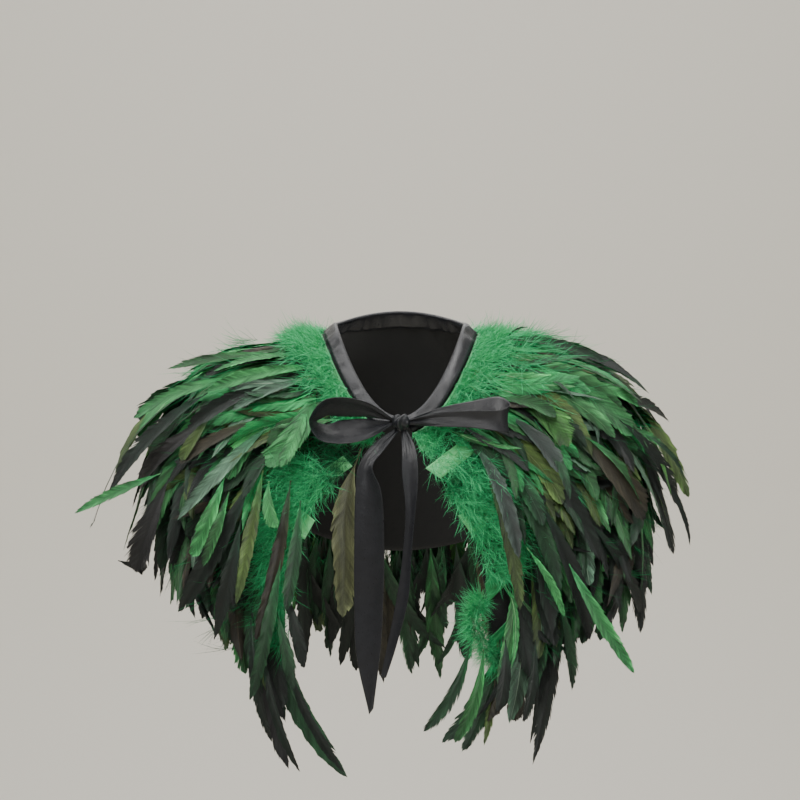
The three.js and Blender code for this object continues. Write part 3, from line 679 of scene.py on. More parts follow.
def row_feathers(row):
    """All blades of a row: the long under layer of the CAD row and shorter ones over it."""
    rng = np.random.default_rng(SEEDS["rows"] + row)
    sizes = ROWS[row]
    places = even_places(sizes["down"] + TAPE_WIDTH, sizes["count"])
    spacing = np.gradient(places)
    numbers = np.arange(sizes["count"])
    forward = smoothstep(np.abs(places), FRONT_STARTS, 1)
    base_reach = sizes["length"] + (sizes["front_length"] - sizes["length"]) * forward
    over_arm = np.exp(-(((np.abs(places) - ARM_TRIM_AROUND) / ARM_TRIM_REACH) ** 2))
    base_reach = base_reach - sizes["arm_trim"] * over_arm
    reach = base_reach * (1 + 0.09 * variation(row, numbers, 1))
    slope = sizes["lift"] + 0.012 * variation(row, numbers, 2)
    turn = 0.35 * np.sin(9 * places + 2 * row)
    for long_row, around, length, lift, sway in LONG_FEATHERS:
        if long_row == row:
            at = np.argmin(np.abs(places - around))
            reach[at], slope[at], turn[at] = length, lift, sway
    parts = []
    count = len(places)
    for layer in range(LAYERS):
        under = layer == 0
        around = places.copy()
        long = reach.copy()
        if not under:
            around = places + spacing * (layer / LAYERS + rng.uniform(-PLACE_SPREAD, PLACE_SPREAD, count))
            long = base_reach * (1 - SHORTER_EACH_LAYER * layer)
            long = long * (1 + rng.uniform(*LENGTH_SPREAD, count))
        around = np.clip(around, -FURTHEST_AROUND, FURTHEST_AROUND)
        drift = turn * spacing if under else spacing * limited(count, BEND_SPREAD, rng)
        skew = np.zeros(count) if under else spacing * limited(count, SLANT_SPREAD, rng)
        if not under and row < 3:
            skew = skew - np.sign(around) * EDGE_TURN * smoothstep(np.abs(around), 0.78, 0.95)
        lift = slope + 0.006 * layer + (not under) * rng.normal(0, LIFT_SPREAD, count)
        if row < 2:
            flatter = np.exp(-(((around - LEFT_SHOULDER["around"]) / LEFT_SHOULDER["reach"]) ** 2))
            lift = lift - LEFT_SHOULDER["drop"] * flatter
        curl = rng.normal(0, CURL_SPREAD, count) * (not under)
        middles, sides = feather_lines(row, around, long, lift, drift, skew, 0.9 * layer, curl)
        roll, twist = rng.normal(0, ROLL_SPREAD, count), rng.normal(0, TWIST_SPREAD, count)
        sides = rolled(middles, sides, roll, twist)
        half = rng.uniform(*OVER_WIDTHS, count)
        if under:
            half = rng.uniform(*UNDER_WIDTHS, count)
        slim = rng.random(count) < (0.0 if under else SLIM_SHARE)
        half = np.where(slim, rng.uniform(*SLIM_WIDTHS, count), half)
        family = rng.choice(len(ROW_MIX[row]), count, p=ROW_MIX[row])
        start = np.full(count, 0.2 if row == 0 else 0.12)
        keep = np.abs(around) < LAST_BLADE[row]
        parts.append(blades(middles[keep], sides[keep], half[keep], family[keep], start[keep], rng))
    return parts


def crowd_height(down):
    """How far the crowd of feathers stands off the cloth at a distance down."""
    height = np.full(np.shape(down), 6.0)
    for sizes in ROWS:
        distance = np.asarray(down, float) - sizes["down"] - TAPE_WIDTH
        part = np.clip(distance, 0, None) / sizes["length"]
        stands = TAPE_HEIGHT + 3.0 + sizes["lift"] * np.clip(distance, 0, None) * (1 - 0.22 * part)
        height = np.maximum(height, np.where((distance > 0) & (part < 1), stands, 0))
    return height


def in_photo(points):
    """Where points in mm show in the photograph, in pixels."""
    scale = CAMERA_AWAY / (CAMERA_AWAY + points[..., 1])
    x = PHOTO_SIZE / 2 + points[..., 0] * scale
    y = PHOTO_SIZE / 2 - (points[..., 2] - CAMERA_Z) * scale
    return np.stack([x, y], -1)


# Places on and above the cape's front and sides that a pixel may stand for.
SEEK_AROUND, SEEK_DOWN, SEEK_HEIGHT = np.meshgrid(
    np.concatenate([np.linspace(-1.02, -0.42, 130), np.linspace(0.42, 1.02, 130)]),
    np.linspace(20, 400, 130), np.arange(0, 150, 10.0), indexing="ij")
SEEK_HEIGHT = SEEK_HEIGHT + crowd_height(SEEK_DOWN)
_, SEEK_NORMAL = surface_frame(SEEK_AROUND, SEEK_DOWN)
SEEK_POINTS = surface(SEEK_AROUND, SEEK_DOWN) + SEEK_NORMAL * SEEK_HEIGHT[..., None]
SEEK_PIXELS = in_photo(SEEK_POINTS)
# A place counts the less the higher it stands off, above all at the front edges.
SEEK_COST = 0.12 + 0.6 * smoothstep(np.abs(SEEK_AROUND), 0.86, 0.95)


def behind_pixel(point, x, y):
    """Points moved at their own depth to lie behind pixels."""
    scale = CAMERA_AWAY / (CAMERA_AWAY + point[..., 1])
    return np.stack([
        (x - PHOTO_SIZE / 2) / scale, point[..., 1], CAMERA_Z - (y - PHOTO_SIZE / 2) / scale,
    ], -1)


def place_at(x, y):
    """The point on the crowd of feathers at a pixel, with its normal."""
    miss = np.hypot(SEEK_PIXELS[..., 0] - x, SEEK_PIXELS[..., 1] - y)
    cost = miss + SEEK_COST * (SEEK_HEIGHT - crowd_height(SEEK_DOWN)) + 0.01 * SEEK_POINTS[..., 1]
    at = np.unravel_index(np.argmin(cost), cost.shape)
    return behind_pixel(SEEK_POINTS[at], x, y), SEEK_NORMAL[at]


# Feathers that stand out in the photograph, by pixel: the root, the tip, the width, how far
# the middle bends to the blade's left, the colour and how far it stands off the crowd.
PLACED = [
    (284, 353, 168, 369, 12, -3, "mid", 1), (262, 360, 206, 375, 8, -3, "dark", 3),
    (306, 354, 214, 371, 10, -5, "bright", 5), (318, 366, 205, 392, 12, -6, "bright", 6),
    (246, 376, 134, 418, 14, -9, "bright", 7), (160, 472, 75, 513, 12, 4, "bright", 5),
    (167, 478, 136, 572, 29, 5, "coal", 4), (118, 562, 147, 568, 14, 3, "coal", 4),
    (256, 392, 138, 486, 22, -12, "dark", 3),
    (206, 392, 108, 497, 17, -13, "dark", 6), (214, 418, 140, 487, 21, -6, "charcoal", 11),
    (262, 418, 180, 463, 13, -5, "brown", 5), (212, 410, 181, 460, 11, 5, "olive", 6),
    (268, 424, 178, 519, 18, 5, "grey", 13), (224, 476, 192, 556, 14, 6, "bright", 6),
    (228, 492, 203, 566, 11, 5, "mid", 6), (316, 388, 267, 467, 28, 16, "bright", 8),
    (306, 404, 281, 466, 15, 9, "bright", 12), (268, 480, 277, 528, 13, -4, "bright", 7),
    (311, 378, 233, 410, 12, -4, "grey", 6), (272, 384, 188, 428, 14, -6, "dark", 5),
    (250, 480, 178, 612, 20, 9, "dark", 1), (262, 470, 236, 604, 13, 6, "olive", 4),
    (290, 480, 256, 640, 13, 10, "brown", 4), (240, 520, 214, 640, 15, 6, "dark", 3),
    (280, 560, 250, 700, 13, 7, "deep", 3), (262, 640, 300, 772, 8, -12, "dark", 1),
    (285, 660, 344, 772, 9, -10, "dark", 1), (250, 620, 272, 742, 10, -8, "dark", 1),
    (548, 372, 632, 436, 23, 6, "bright", 6), (506, 392, 569, 446, 25, 8, "yellow", 7),
    (574, 380, 639, 406, 11, 4, "bright", 8), (538, 346, 634, 379, 14, 8, "dark", 6),
    (500, 338, 606, 362, 11, 8, "deep", 6), (472, 440, 519, 558, 15, 12, "slate", 9),
    (508, 414, 562, 474, 16, 6, "slate", 8), (496, 398, 556, 417, 13, 5, "mid", 13),
    (190, 400, 150, 456, 15, 4, "deep", 1),
    (284, 590, 304, 668, 12, 4, "dark", 1), (276, 612, 293, 690, 12, 4, "deep", 1),
    (562, 424, 643, 520, 25, 12, "brown", 6), (586, 436, 642, 506, 10, 9, "mid", 9),
    (616, 426, 663, 448, 10, 3, "bright", 8),
    (528, 548, 564, 616, 8, 4, "bright", 6), (552, 548, 581, 617, 8, 4, "mid", 6),
    (568, 560, 634, 673, 14, -9, "bright", 8), (600, 392, 669, 422, 15, 7, "dark", 6),
    (622, 420, 676, 503, 17, 10, "dark", 4), (640, 430, 684, 477, 7, 6, "deep", 6),
    (648, 456, 690, 545, 8, 9, "dark", 4), (470, 646, 424, 731, 13, 12, "deep", 2),
    (484, 650, 455, 742, 12, 10, "mid", 2), (506, 640, 498, 712, 12, 4, "dark", 2),
    (536, 640, 524, 721, 10, 4, "dark", 2), (538, 660, 530, 744, 4, 3, "dark", 2),
    (496, 452, 560, 590, 17, 12, "deep", 5),
    (520, 440, 600, 560, 19, 11, "dark", 5), (486, 470, 520, 610, 14, 8, "olive", 4),
    (540, 500, 590, 640, 16, 9, "dark", 3), (300, 500, 286, 610, 13, 5, "deep", 4),
    (590, 520, 640, 612, 15, 8, "dark", 3), (560, 600, 572, 690, 12, 4, "deep", 3),
    (504, 343, 529, 327, 2.5, 4, "dark", 8), (510, 340, 545, 341, 3, 7, "olive", 8),
    (494, 440, 516, 500, 9, 6, "mid", 10), (536, 430, 570, 500, 9, 8, "deep", 10),
]
# The loose feather at the left edge: its stations, in mm, and the form of its blade.
LOOSE = [(-37, -112, -111), (-47, -117, -141), (-52, -121, -174), (-52, -124, -216), (-54, -125, -270)]
LOOSE_BLADE = dict(half_width=11.5, roundness=5, vane_start=0.14)
# How far these feathers turn their faces to the front.
TO_VIEWER = np.array([0, -0.5, 0])


def placed_feathers():
    """The feathers of the table above and the loose one, as parts of one piece."""
    rng = np.random.default_rng(SEEDS["placed"])
    t = np.linspace(0, 1, STATIONS)[:, None]
    middles, sides = [], []
    for x0, y0, x1, y1, _, bend, _, stand in PLACED:
        root, normal_root = place_at(x0, y0)
        tip, normal_tip = place_at(x1, y1)
        outward = unit(unit(normal_root + normal_tip) + TO_VIEWER)
        along = unit(tip - root)
        outward = unit(outward - along * (outward @ along))
        left = np.cross(outward, along)
        length = np.linalg.norm(tip - root)
        middle = (root + tip) / 2 + outward * (0.07 * length + stand) + left * bend
        root = root - outward * 3
        tip = behind_pixel(tip + outward * stand, x1, y1)
        middles.append(root * (1 - t) ** 2 + 2 * middle * t * (1 - t) + tip * t**2)
        sides.append(np.broadcast_to(left, (STATIONS, 3)))
    middles.append(catmull(LOOSE, STATIONS))
    sides.append(np.broadcast_to([1.0, 0, 0], (STATIONS, 3)))
    count = len(middles)
    middles = np.array(middles)
    sides = rolled(
        middles, np.array(sides), rng.normal(0, 0.12, count), rng.normal(0, 0.25, count))
    half = np.array([width / 2 for _, _, _, _, width, _, _, _ in PLACED] + [LOOSE_BLADE["half_width"]])
    family = [FAMILIES.index(name) for _, _, _, _, _, _, name, _ in PLACED] + [FAMILIES.index("straw")]
    roundness = rng.uniform(*ROUNDNESS, count)
    roundness[-1] = LOOSE_BLADE["roundness"]
    start = np.zeros(count)
    start[-1] = LOOSE_BLADE["vane_start"]
    return [blades(middles, sides, half, family, start, rng, roundness)]


# Down.

def strands(roots, directions, outward, lengths, width, light, rng, bend):
    """Hair-thin ribbons that leave their roots and bend at random, thinning to a point."""
    count = len(roots)

    def kept_out(vectors):
        inward = np.minimum((vectors * outward).sum(-1, keepdims=True), 0)
        return unit(vectors - 1.7 * inward * outward)

    directions = kept_out(unit(directions))
    sideways = unit(np.cross(directions, rng.normal(0, 1, (count, 3))))
    sag = kept_out(unit(rng.normal(0, 1, (count, 3)) + np.array([0, 0, -0.5])))
    shares = np.array([0, 0.38, 0.74, 1.0])
    line = (
        roots[:, None, :]
        + directions[:, None, :] * (lengths[:, None] * shares[None, :])[..., None]
        + sag[:, None, :] * (bend * lengths[:, None] * shares[None, :] ** 2)[..., None]
    )
    widths = width * np.array([1.0, 0.9, 0.6])
    left = line[:, :3] - sideways[:, None, :] * widths[None, :, None] / 2
    right = line[:, :3] + sideways[:, None, :] * widths[None, :, None] / 2
    points = np.concatenate([left, right, line[:, 3:]], 1).reshape(-1, 3)
    start = (np.arange(count) * 7)[:, None]
    quads = np.concatenate([
        start + np.array([[0, 1, 4, 3]]), start + np.array([[1, 2, 5, 4]]),
    ])
    tips = start + np.array([[2, 6, 5]])
    # Light picks the green between deep and light; below zero it darkens the strands, which the lower
    # wisps and the back fluff use as painted shade.
    tint = DOWN_DEEP[None, :] + (DOWN_LIGHT - DOWN_DEEP)[None, :] * np.clip(light, 0, 1)[:, None]
    tint = tint * np.clip(1 + light, 0.15, 1)[:, None]
    tint = np.repeat(tint[:, None, :], 7, 1)
    tint = tint * np.array([0.8, 1.0, 1.1, 0.8, 1.0, 1.1, 1.2])[None, :, None]
    vane = np.concatenate([
        np.repeat(rng.uniform(0, 40, (count, 1, 2)), 7, 1),
        np.broadcast_to(np.array([0, 1, 2, 0, 1, 2, 3.0])[None, :, None], (count, 7, 1)),
    ], -1)
    return points, quads, tips, tint.reshape(-1, 3), vane.reshape(-1, 3)


# The bow's place on the front, in mm: from x, to x, from z, to z.
BOW_PLACE = (-92, 112, -122, -58)


def room_under_bow(around, down):
    """Less than 1 where the bow or the ribbon's tails leave the down little room."""
    place = surface(around, down)
    x, z = place[:, 0], place[:, 2]
    under = (place[:, 1] < 0) & (x > BOW_PLACE[0]) & (x < BOW_PLACE[1])
    under = under & (z > BOW_PLACE[2]) & (z < BOW_PLACE[3])
    return np.where(under, 0.42, 1.0)


def tufts(around, down, height, size, looks, rng):
    """Tufts of down at places around and down, as strands round a short stem."""
    count, each = len(around), looks["strands"]
    side, normal = surface_frame(around, down)
    fall = np.cross(normal, side)
    fall = fall * np.sign(-fall[:, 2:])
    root = surface(around, down) + normal * height[:, None]
    lean = rng.normal(0, 0.35, (count, 1))
    stem = unit(fall * 0.9 + normal * looks["upward"] + side * lean)
    step = rng.uniform(0, 0.6, (count, each, 1)) * size[:, None, None]
    roots = root[:, None, :] + stem[:, None, :] * step
    scatter = looks["fan"] * rng.normal(0, 1, (count, each, 3))
    fan = unit(stem[:, None, :] + scatter)
    drop = (fan * fall[:, None, :]).sum(-1, keepdims=True)
    fan = fan + fall[:, None, :] * np.maximum(looks["falling"] - drop, 0)
    lengths = size[:, None] * rng.uniform(0.55, 1.15, (count, each))
    light = looks["light"] + rng.normal(0, 0.2, (count, 1)) + rng.normal(0, 0.16, (count, each))
    outward = np.repeat(normal[:, None, :], each, 1)
    return strands(
        roots.reshape(-1, 3), fan.reshape(-1, 3), outward.reshape(-1, 3), lengths.ravel(),
        looks["width"], light.ravel(), rng, looks["bend"])


def zone_tufts(looks, rng):
    """Tufts spread over a zone of the cape."""
    count = looks["count"]
    around = rng.uniform(*looks["around"], count)
    down = rng.uniform(*looks["down"], count)
    height = rng.uniform(*looks["height"], count)
    size = rng.uniform(*looks["size"], count)
    room = room_under_bow(around, down)
    return tufts(around, down, height * room, size * (0.35 + 0.65 * room), looks, rng)


def zone(around, down, height, size, count, strands, light=0.6, upward=0.4, fan=0.75,
         falling=-1, width=0.42, bend=0.5):
    """A zone of down: where its tufts stand and how they look; lengths are in mm."""
    return dict(
        around=around, down=down, height=height, size=size, count=count, strands=strands,
        light=light, upward=upward, fan=fan, falling=falling, width=width, bend=bend)


# Zones of down. Round the neck it covers the first tape and thins out over the blades.
NECK_DOWN = [
    zone((-1, 1), (18.5, 24), (2.2, 4), (7, 12), 520, 14, upward=0.3, light=0.62, falling=0.25),
    zone((-1, 1), (21, 36), (3, 6), (11, 19), 560, 16, upward=0.5, light=0.7, falling=0.05),
    zone((-1, 1), (30, 52), (6, 14), (13, 22), 480, 15, upward=0.35, light=0.65),
    zone((-0.2, 1), (48, 70), (12, 20), (14, 24), 180, 15, upward=0.3, light=0.55),
    zone((-0.35, 0.98), (56, 100), (16, 26), (18, 34), 210, 11, upward=0.25, fan=0.4,
         light=0.45, width=0.36, bend=0.3),
]
# Under the tapes' ends at both front edges.
EDGE_DOWN_LEFT = [
    zone((-1.0, -0.86), (54, 88), (3, 9), (12, 22), 90, 16, light=-0.35),
    zone((-1.01, -0.9), (82, 130), (3, 12), (12, 24), 150, 18),
    zone((-1.01, -0.93), (128, 192), (3, 10), (12, 22), 150, 18),
    zone((-1.02, -0.95), (190, 226), (4, 14), (12, 22), 90, 16, light=0.45),
    zone((-1.02, -0.96), (224, 262), (3, 12), (14, 24), 70, 14, light=-0.1),
]
EDGE_DOWN_RIGHT = [
    zone((0.88, 0.99), (66, 90), (3, 8), (12, 22), 80, 16, light=0.1),
    zone((0.87, 1.0), (82, 132), (3, 12), (12, 24), 170, 18),
    zone((0.89, 1.0), (128, 186), (3, 10), (12, 22), 150, 16),
]
# Fluff at the roots of the last row, behind, which closes the gaps under the hem; it is darkened as
# painted shade.
BACK_FLUFF = zone((-0.5, 0.5), (256, 284), (2, 8), (12, 22), 130, 12, light=-0.7)
# Wisps between the blades of each row but the first, from above the tape's lower edge; they get darker
# row by row going down, as painted shade between the blades.
WISPS_FROM, WISPS_TO = -4, 60
ROW_WISPS = [
    zone((-0.92, 0.92), (row["down"] + TAPE_WIDTH + WISPS_FROM, row["down"] + TAPE_WIDTH + WISPS_TO),
         (10, 26), (16, 32), 230, 10, fan=0.3, width=0.34, bend=0.3, upward=0.3, light=light)
    for row, light in zip(ROWS[1:], (0.35, 0.05, -0.35, -0.55))
]
# The plume of down at the right front edge: its stem by pixel, its depth in mm, how many
# strands it has, how long they are outside and inside of the curve, their width and bend.
PLUME = [(507, 668), (493, 654), (480, 636), (474, 616), (483, 599)]
PLUME_Y = -125.0
PLUME_SIZES = dict(count=3600, outside=24, inside=15, width=0.38, bend=0.35)


def plume_down(rng):
    """A curved plume that hangs out of the front edge, with its hairs opened to the left."""
    count = PLUME_SIZES["count"]
    toward = np.array([0, -1.0, 0])
    stem = catmull([behind_pixel(np.array([0, PLUME_Y, 0]), x, y) for x, y in PLUME], 60)
    along = unit(np.gradient(stem, axis=0))
    left = unit(np.cross(along, toward))
    left = left * np.sign(-left[:, :1])
    at = rng.integers(0, len(stem), count)
    turn = rng.uniform(-0.8, 1, count)[:, None]
    way = turn * left[at]
    near = 1 - np.abs(turn)
    roots = stem[at] + way * 3 + toward * near * rng.uniform(0, 6, (count, 1))
    directions = way + along[at] * 0.25 + toward * (0.25 + 0.8 * near)
    directions = directions + 0.4 * rng.normal(0, 1, (count, 3))
    outside = turn[:, 0] > 0
    longest = np.where(outside, PLUME_SIZES["outside"], PLUME_SIZES["inside"])
    lengths = longest * rng.uniform(0.4, 1, count)
    light = 0.45 + 0.3 * at / len(stem) + rng.normal(0, 0.28, count) - 0.25 * ~outside
    outward = np.broadcast_to(toward, roots.shape)
    return strands(
        roots, directions, outward, lengths, PLUME_SIZES["width"], light, rng, PLUME_SIZES["bend"])


# Cloth, ribbons and tapes.

# Thickness of each cloth that shows.
CLOTH_WALL = 0.9
RIBBON_WALL = 0.45
TAPE_WALL = 0.5


def cloth_panel(name, node, around_from, around_to):
    """A panel of the foundation on its CAD node's form, with soft troughs of its own."""
    rng = np.random.default_rng(len(name))
    downs = np.linspace(0, HEM_DOWN, 46)
    arounds = np.linspace(around_from, around_to, 70)
    a, d = np.meshgrid(arounds, downs)
    soft = 0.35 * smooth_noise(a.shape, [3, 7], rng) * np.clip(d / 120, 0, 1)
    grid = raised(a, d, soft)
    ob = sheet_mesh(name, grid, CLOTH_WALL, cloth_material)
    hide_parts(node)


# The binding's section: height off the cloth and distance down, up the outer side to the fold.
BINDING_OUTSIDE = [
    (1.8, BAND_WIDTH), (1.85, 14.0), (1.8, 10.0), (1.85, 6.0), (1.85, 2.5), (1.7, 0.3), (1.1, -0.7),
]
BINDING_TOP = (0, -0.95)


def neck_ribbon():
    """The binding: one ribbon folded over the neck edge, slightly puckered."""
    rng = np.random.default_rng(SEEDS["binding"])
    arounds = np.linspace(-1, 1, 260)
    outside = np.array(BINDING_OUTSIDE)
    fold = np.concatenate([outside, [BINDING_TOP], outside[::-1] * [-1, 1]])
    height, down = fold[:, :1], fold[:, 1:]
    ridges = 1 - 2.2 * np.abs(smooth_noise((len(fold), len(arounds)), [1, 34], rng))
    pucker = 1.2 * ridges * np.sign(height) * np.clip(down / 5, 0, 1)
    slow = smooth_noise((len(fold), len(arounds)), [1, 27], rng) * 0.9 * np.sign(height)
    a = np.broadcast_to(arounds[None, :], pucker.shape)
    stands = (pucker + slow * np.clip(down / 8, 0, 1)) * np.sign(height)
    stands = np.maximum(stands, -0.9) * np.sign(height)
    grid = raised(a, np.broadcast_to(down, a.shape), height + stands)
    ob = sheet_mesh("neck_ribbon", grid, RIBBON_WALL, ribbon_material)
    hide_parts("neckband")


# Stations of the ribbon pieces: one edge's point, then the other edge's.
LOOP_LEFT = [
    (-7, -105.2, -83.4, -7, -100.4, -84), (-32, -124, -67, -32, -109, -81),
    (-55, -131, -63, -54, -111, -81), (-74, -133, -67, -70, -113, -80),
    (-85, -134, -84, -79, -114, -85), (-77, -134, -101, -70, -114, -88),
    (-57, -132, -106, -54, -113, -84), (-32, -125, -102, -32, -111, -82.5),
    (-7, -105.2, -87.4, -7, -100.4, -86.2),
]
LOOP_RIGHT = [
    (9.2, -105.8, -88.6, 9.2, -105.8, -83.6), (34, -125, -90, 34, -125, -77),
    (66, -132, -91, 66, -132, -75), (96, -132, -95, 96, -132, -74),
    (104, -124, -96, 104, -123, -69), (94, -117, -93, 95, -114, -62),
    (66, -116, -91, 68, -113, -66), (34, -112, -89, 36, -109, -73),
    (9.2, -101, -88.4, 9.2, -100.6, -83.2),
]
TAIL_LEFT = [
    (-5.6, -103.1, -92.3, -1.2, -105.2, -94.7), (-25, -117, -106, -14, -119, -111),
    (-39, -125, -127, -26, -128, -128), (-42, -128, -150, -18, -133, -150),
    (-43, -130, -200, -15, -134, -200), (-43, -130, -260, -16, -133, -258),
    (-41, -130, -305, -18, -132, -296), (-29, -130, -361, -25, -131, -355),
]
TAIL_RIGHT = [
    (1.2, -104.6, -94.9, 6.6, -104.6, -93.2), (2, -119, -112, 15, -118, -112),
    (2, -126, -135, 17, -126, -135), (5, -129, -165, 15, -132, -165),
    (3, -130, -205, 11, -135, -205), (-3, -131, -250, 8, -136, -250),
    (-12, -131, -295, -3, -135, -295), (-18, -131, -326, -13, -132, -326),
]


# How far the gathers reach from the knot.
GATHER_REACH = 22


def ribbon_piece(name, node, stations, bulge, crease, closed_at_end):
    """A ribbon through its stations, gathered into creases at the knot."""
    rng = np.random.default_rng(sum(map(ord, name)))
    samples, across = 120, 22
    table = np.array(stations, float)
    first = catmull(table[:, :3], samples)
    second = catmull(table[:, 3:], samples)
    share = np.linspace(0, 1, across)[None, :]
    t = np.linspace(0, 1, samples)[:, None]
    grid = first[:, None, :] * (1 - share[..., None]) + second[:, None, :] * share[..., None]
    normals = grid_normals(grid)
    run = np.linalg.norm(np.diff(grid.mean(1), axis=0), axis=1)
    run = np.concatenate([[0], np.cumsum(run)])
    near = np.exp(-((run / GATHER_REACH) ** 1.4))
    if closed_at_end:
        near = near + np.exp(-(((run[-1] - run) / GATHER_REACH) ** 1.4))
    gathers = np.sin(share * 2 * np.pi * 1.7 + 1.3) + 0.5 * np.sin(share * 2 * np.pi * 3.3 + 0.4)
    width = np.linalg.norm(second - first, axis=1)
    height = near[:, None] * gathers * crease * np.clip(width / 14, 0.2, 1)[:, None]
    soft = smooth_noise(grid.shape[:2], [7, 1], rng)
    height = height + soft * 0.8 * np.clip(width / 16, 0.1, 1)[:, None]
    height = height + bulge * np.sin(np.pi * share) * np.sin(np.pi * t)
    grid = grid + normals * height[..., None]
    ob = sheet_mesh(name, grid, RIBBON_WALL, ribbon_material)
    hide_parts(node)


def knot_piece():
    """The knot: a short wrap of ribbon with pleats that run round it."""
    rows, columns = 48, 64
    across = np.linspace(-1, 1, rows)[:, None]
    turn = np.linspace(0, 2 * np.pi, columns, endpoint=False)[None, :]
    slant = across + 0.5 * np.cos(turn + 0.7) + 0.16 * np.cos(2 * turn)
    pleats = 0.15 * np.sin(slant * 4.6 + 0.5) + 0.07 * np.sin(slant * 9 + 2.0 * np.sin(turn))
    radius = np.maximum(1 - np.abs(across) ** 3.4, 0) ** 0.5 + pleats * (1 - across**4)
    x = np.broadcast_to(1 + 8.2 * across, radius.shape)
    y = -102.8 - 7.4 * radius * np.cos(turn)
    z = -86.5 + 7.6 * radius * np.sin(turn)
    points = np.stack([x, y, z], -1).reshape(-1, 3)
    ids = np.arange(rows * columns).reshape(rows, columns)
    after = np.roll(ids, -1, 1)
    faces = np.stack([ids[:-1], after[:-1], after[1:], ids[1:]], -1).reshape(-1, 4)
    uv = np.stack([(x - 1).ravel(), np.broadcast_to(turn * 8, x.shape).ravel()], -1) * MM
    ob = make_mesh("knot_wrap", points, [faces], ribbon_material, uv=uv)
    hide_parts("bow_knot")


# Where free ends of tapes show: the row, the side, then in pixels a place further in, the
# end and half the way across, and in mm how far the end lifts off.
TAPE_ENDS = [
    (1, -1, (323.8, 477.6), (347.8, 461.1), (4.8, 5.3), 5.0),
    (1, 1, (457.0, 455.0), (433.0, 473.5), (7.6, 5.2), 5.0),
    (2, -1, (286.5, 511.1), (309.8, 530.0), (-5.2, 9.6), 13.0),
    (2, 1, (491.0, 510.6), (464.5, 524.6), (6.5, 9.0), 7.0),
]
# The place around of the place further in.
FREE_END = 0.94


def free_ends(row, grid, around, across):
    """A tape's grid, in mm, with its ends turned to where they show."""
    for end_row, sign, inner, end, half, lift in TAPE_ENDS:
        if end_row != row:
            continue
        place = sign * around
        run = (place - FREE_END) / (1 - FREE_END)
        x = inner[0] + (end[0] - inner[0]) * run + half[0] * across
        y = inner[1] + (end[1] - inner[1]) * run + half[1] * across
        lifted = grid - np.array([0, lift, 0]) * smoothstep(place, 0.93, 0.97)[..., None]
        turned = behind_pixel(lifted, x, y)
        grid = grid + (turned - grid) * smoothstep(place, 0.8, 0.93)[..., None]
    return grid


def header_tape(row):
    """A row's satin tape, gathered into fine crinkles, with its ends turned under."""
    rng = np.random.default_rng(SEEDS["tapes"] + row)
    down = ROWS[row]["down"]
    arounds = np.linspace(-1, 1, 440)
    downs = np.linspace(down, down + TAPE_WIDTH, 11)
    a, d = np.meshgrid(arounds, downs)
    crinkle = smooth_noise(a.shape, [2, 130], rng)
    lines = np.exp(-((d - down - 4) ** 2) / 1.6) + np.exp(-((d - down - 14) ** 2) / 1.6)
    turned = smoothstep(np.abs(a), 0.985, 0.987)
    height = TAPE_HEIGHT + 0.6 * crinkle * (1 - 0.7 * lines) - 0.8 * lines + 0.8 * turned
    # Rows 0, 3 and 4, covered by down and feathers, take the darker satin as painted shade.
    material = tape_material if row in (1, 2) else shaded_tape_material
    grid = free_ends(row, raised(a, d, height), a, (d - down) / TAPE_WIDTH * 2 - 1)
    ob = sheet_mesh(f"header_tape_{row}", grid, TAPE_WALL, material)
    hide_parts(f"feather_row_{row}")


# Camera at the photograph's place.
SENSOR_WIDTH = 36
camera_data = bpy.data.cameras.new("photo_camera")
camera_data.sensor_width = SENSOR_WIDTH
camera_data.lens = SENSOR_WIDTH * CAMERA_AWAY / PHOTO_SIZE
camera_data.clip_end = 50
camera = bpy.data.objects.new("photo_camera", camera_data)
camera.location = (0, -CAMERA_AWAY * MM, CAMERA_Z * MM)
camera.rotation_euler = (math.pi / 2, 0, 0)
bpy.context.scene.collection.objects.link(camera)
bpy.context.scene.camera = camera

# Pieces. The panels meet at the shoulders, halfway round.
SHOULDER = 0.5
cloth_panel("cloth_back", "yoke_back", -SHOULDER, SHOULDER)
cloth_panel("cloth_front_left", "yoke_front_left", -1.0, -SHOULDER)
cloth_panel("cloth_front_right", "yoke_front_right", SHOULDER, 1.0)
neck_ribbon()
ribbon_piece("bow_left", "bow_loop_left", LOOP_LEFT, 2.6, 1.8, True)
ribbon_piece("bow_right", "bow_loop_right", LOOP_RIGHT, 2.2, 1.8, True)
ribbon_piece("tail_left", "ribbon_tail_left", TAIL_LEFT, 4.2, 1.8, False)
ribbon_piece("tail_right", "ribbon_tail_right", TAIL_RIGHT, 2.2, 1.2, False)
knot_piece()
for row in range(len(ROWS)):
    header_tape(row)
    feathers = soft_piece(f"feathers_{row}", row_feathers(row), blade_material)
    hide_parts(f"feather_row_{row}")
soft_piece("feathers_placed", placed_feathers(), blade_material)
down_rng = np.random.default_rng(SEEDS["down"])
for name, zones in (("down_neck", NECK_DOWN), ("down_edge_left", EDGE_DOWN_LEFT),
                    ("down_edge_right", EDGE_DOWN_RIGHT), ("down_wisps", [BACK_FLUFF] + ROW_WISPS)):
    parts = [zone_tufts(looks, down_rng) for looks in zones]
    if name == "down_edge_right":
        parts.append(plume_down(down_rng))
    soft_piece(name, parts, fluff_material)


# Floor, backdrop and light, in metres.
FLOOR_Z = -1.25
FLOOR_FRONT = -6.0
FLOOR_BACK = 2.6
FLOOR_SIDE = 6.0
COVE = 1.0
WALL_TOP = 4.5
COVE_STEPS = 8

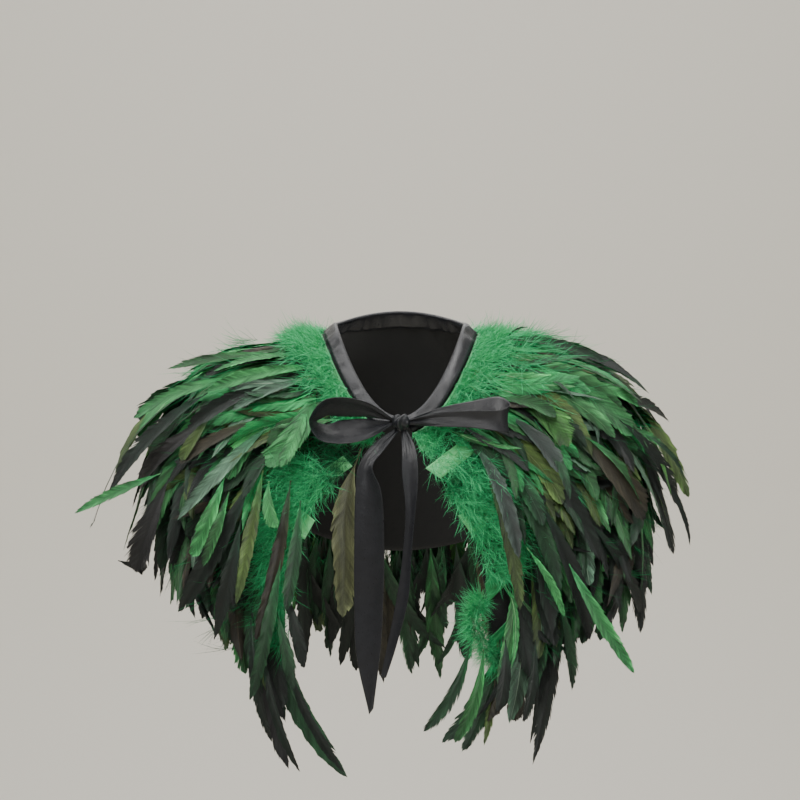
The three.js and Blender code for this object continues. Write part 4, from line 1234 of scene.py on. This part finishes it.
profile = [(FLOOR_FRONT, FLOOR_Z)]
for step in range(COVE_STEPS + 1):
    angle = math.pi / 2 * step / COVE_STEPS
    profile.append((FLOOR_BACK + COVE * math.sin(angle), FLOOR_Z + COVE * (1 - math.cos(angle))))
profile.append((FLOOR_BACK + COVE, WALL_TOP))
stage_points = [(x, y, z) for y, z in profile for x in (-FLOOR_SIDE, FLOOR_SIDE)]
stage_faces = [(2 * k, 2 * k + 1, 2 * k + 3, 2 * k + 2) for k in range(len(profile) - 1)]
pale_floor, _, floor_shader = node_material("pale_floor")
feed(floor_shader, {"Base Color": linear((226, 222, 212)), "Roughness": 0.9})
stage_mesh = bpy.data.meshes.new("floor")
stage_mesh.from_pydata(stage_points, [], stage_faces)
stage_mesh.polygons.foreach_set("use_smooth", [True] * len(stage_faces))
stage_mesh.materials.append(pale_floor)
floor = bpy.data.objects.new("floor", stage_mesh)
bpy.context.scene.collection.objects.link(floor)

# Lights: name, place, aim, size, power, colour.
LIGHTS = [
    ("key", (-0.9, -1.9, 2.3), (0, 0, -0.15), (1.5, 1.2), 78, (1, 0.99, 0.97)),
    ("fill", (1.9, -2.1, 0.9), (0, 0, -0.15), (1.6, 1.6), 18, (0.97, 0.99, 1)),
    ("top", (0, 0.1, 2.4), (0, 0, 0), (2.6, 2.0), 62, (1, 1, 1)),
    ("back", (0, 2.6, 1.6), (0, 0, -0.1), (2.4, 1.2), 20, (1, 1, 1)),
    ("wall", (0, 1.5, 2.6), (0, 3.6, 0.1), (3.2, 0.8), 30, (1, 0.985, 0.95)),
]
for name, place, aim, size, power, colour in LIGHTS:
    lamp = bpy.data.lights.new(name, "AREA")
    lamp.shape = "RECTANGLE"
    lamp.size, lamp.size_y = size
    lamp.energy = power
    lamp.color = colour
    light = bpy.data.objects.new(name, lamp)
    light.location = place
    light.rotation_euler = (Vector(aim) - Vector(place)).to_track_quat("-Z", "Y").to_euler()
    bpy.context.scene.collection.objects.link(light)

world = bpy.data.worlds.new("studio")
bpy.context.scene.world = world
world.use_nodes = True
feed(world.node_tree.nodes["Background"], {"Color": (0.80, 0.785, 0.745, 1), "Strength": 0.5})
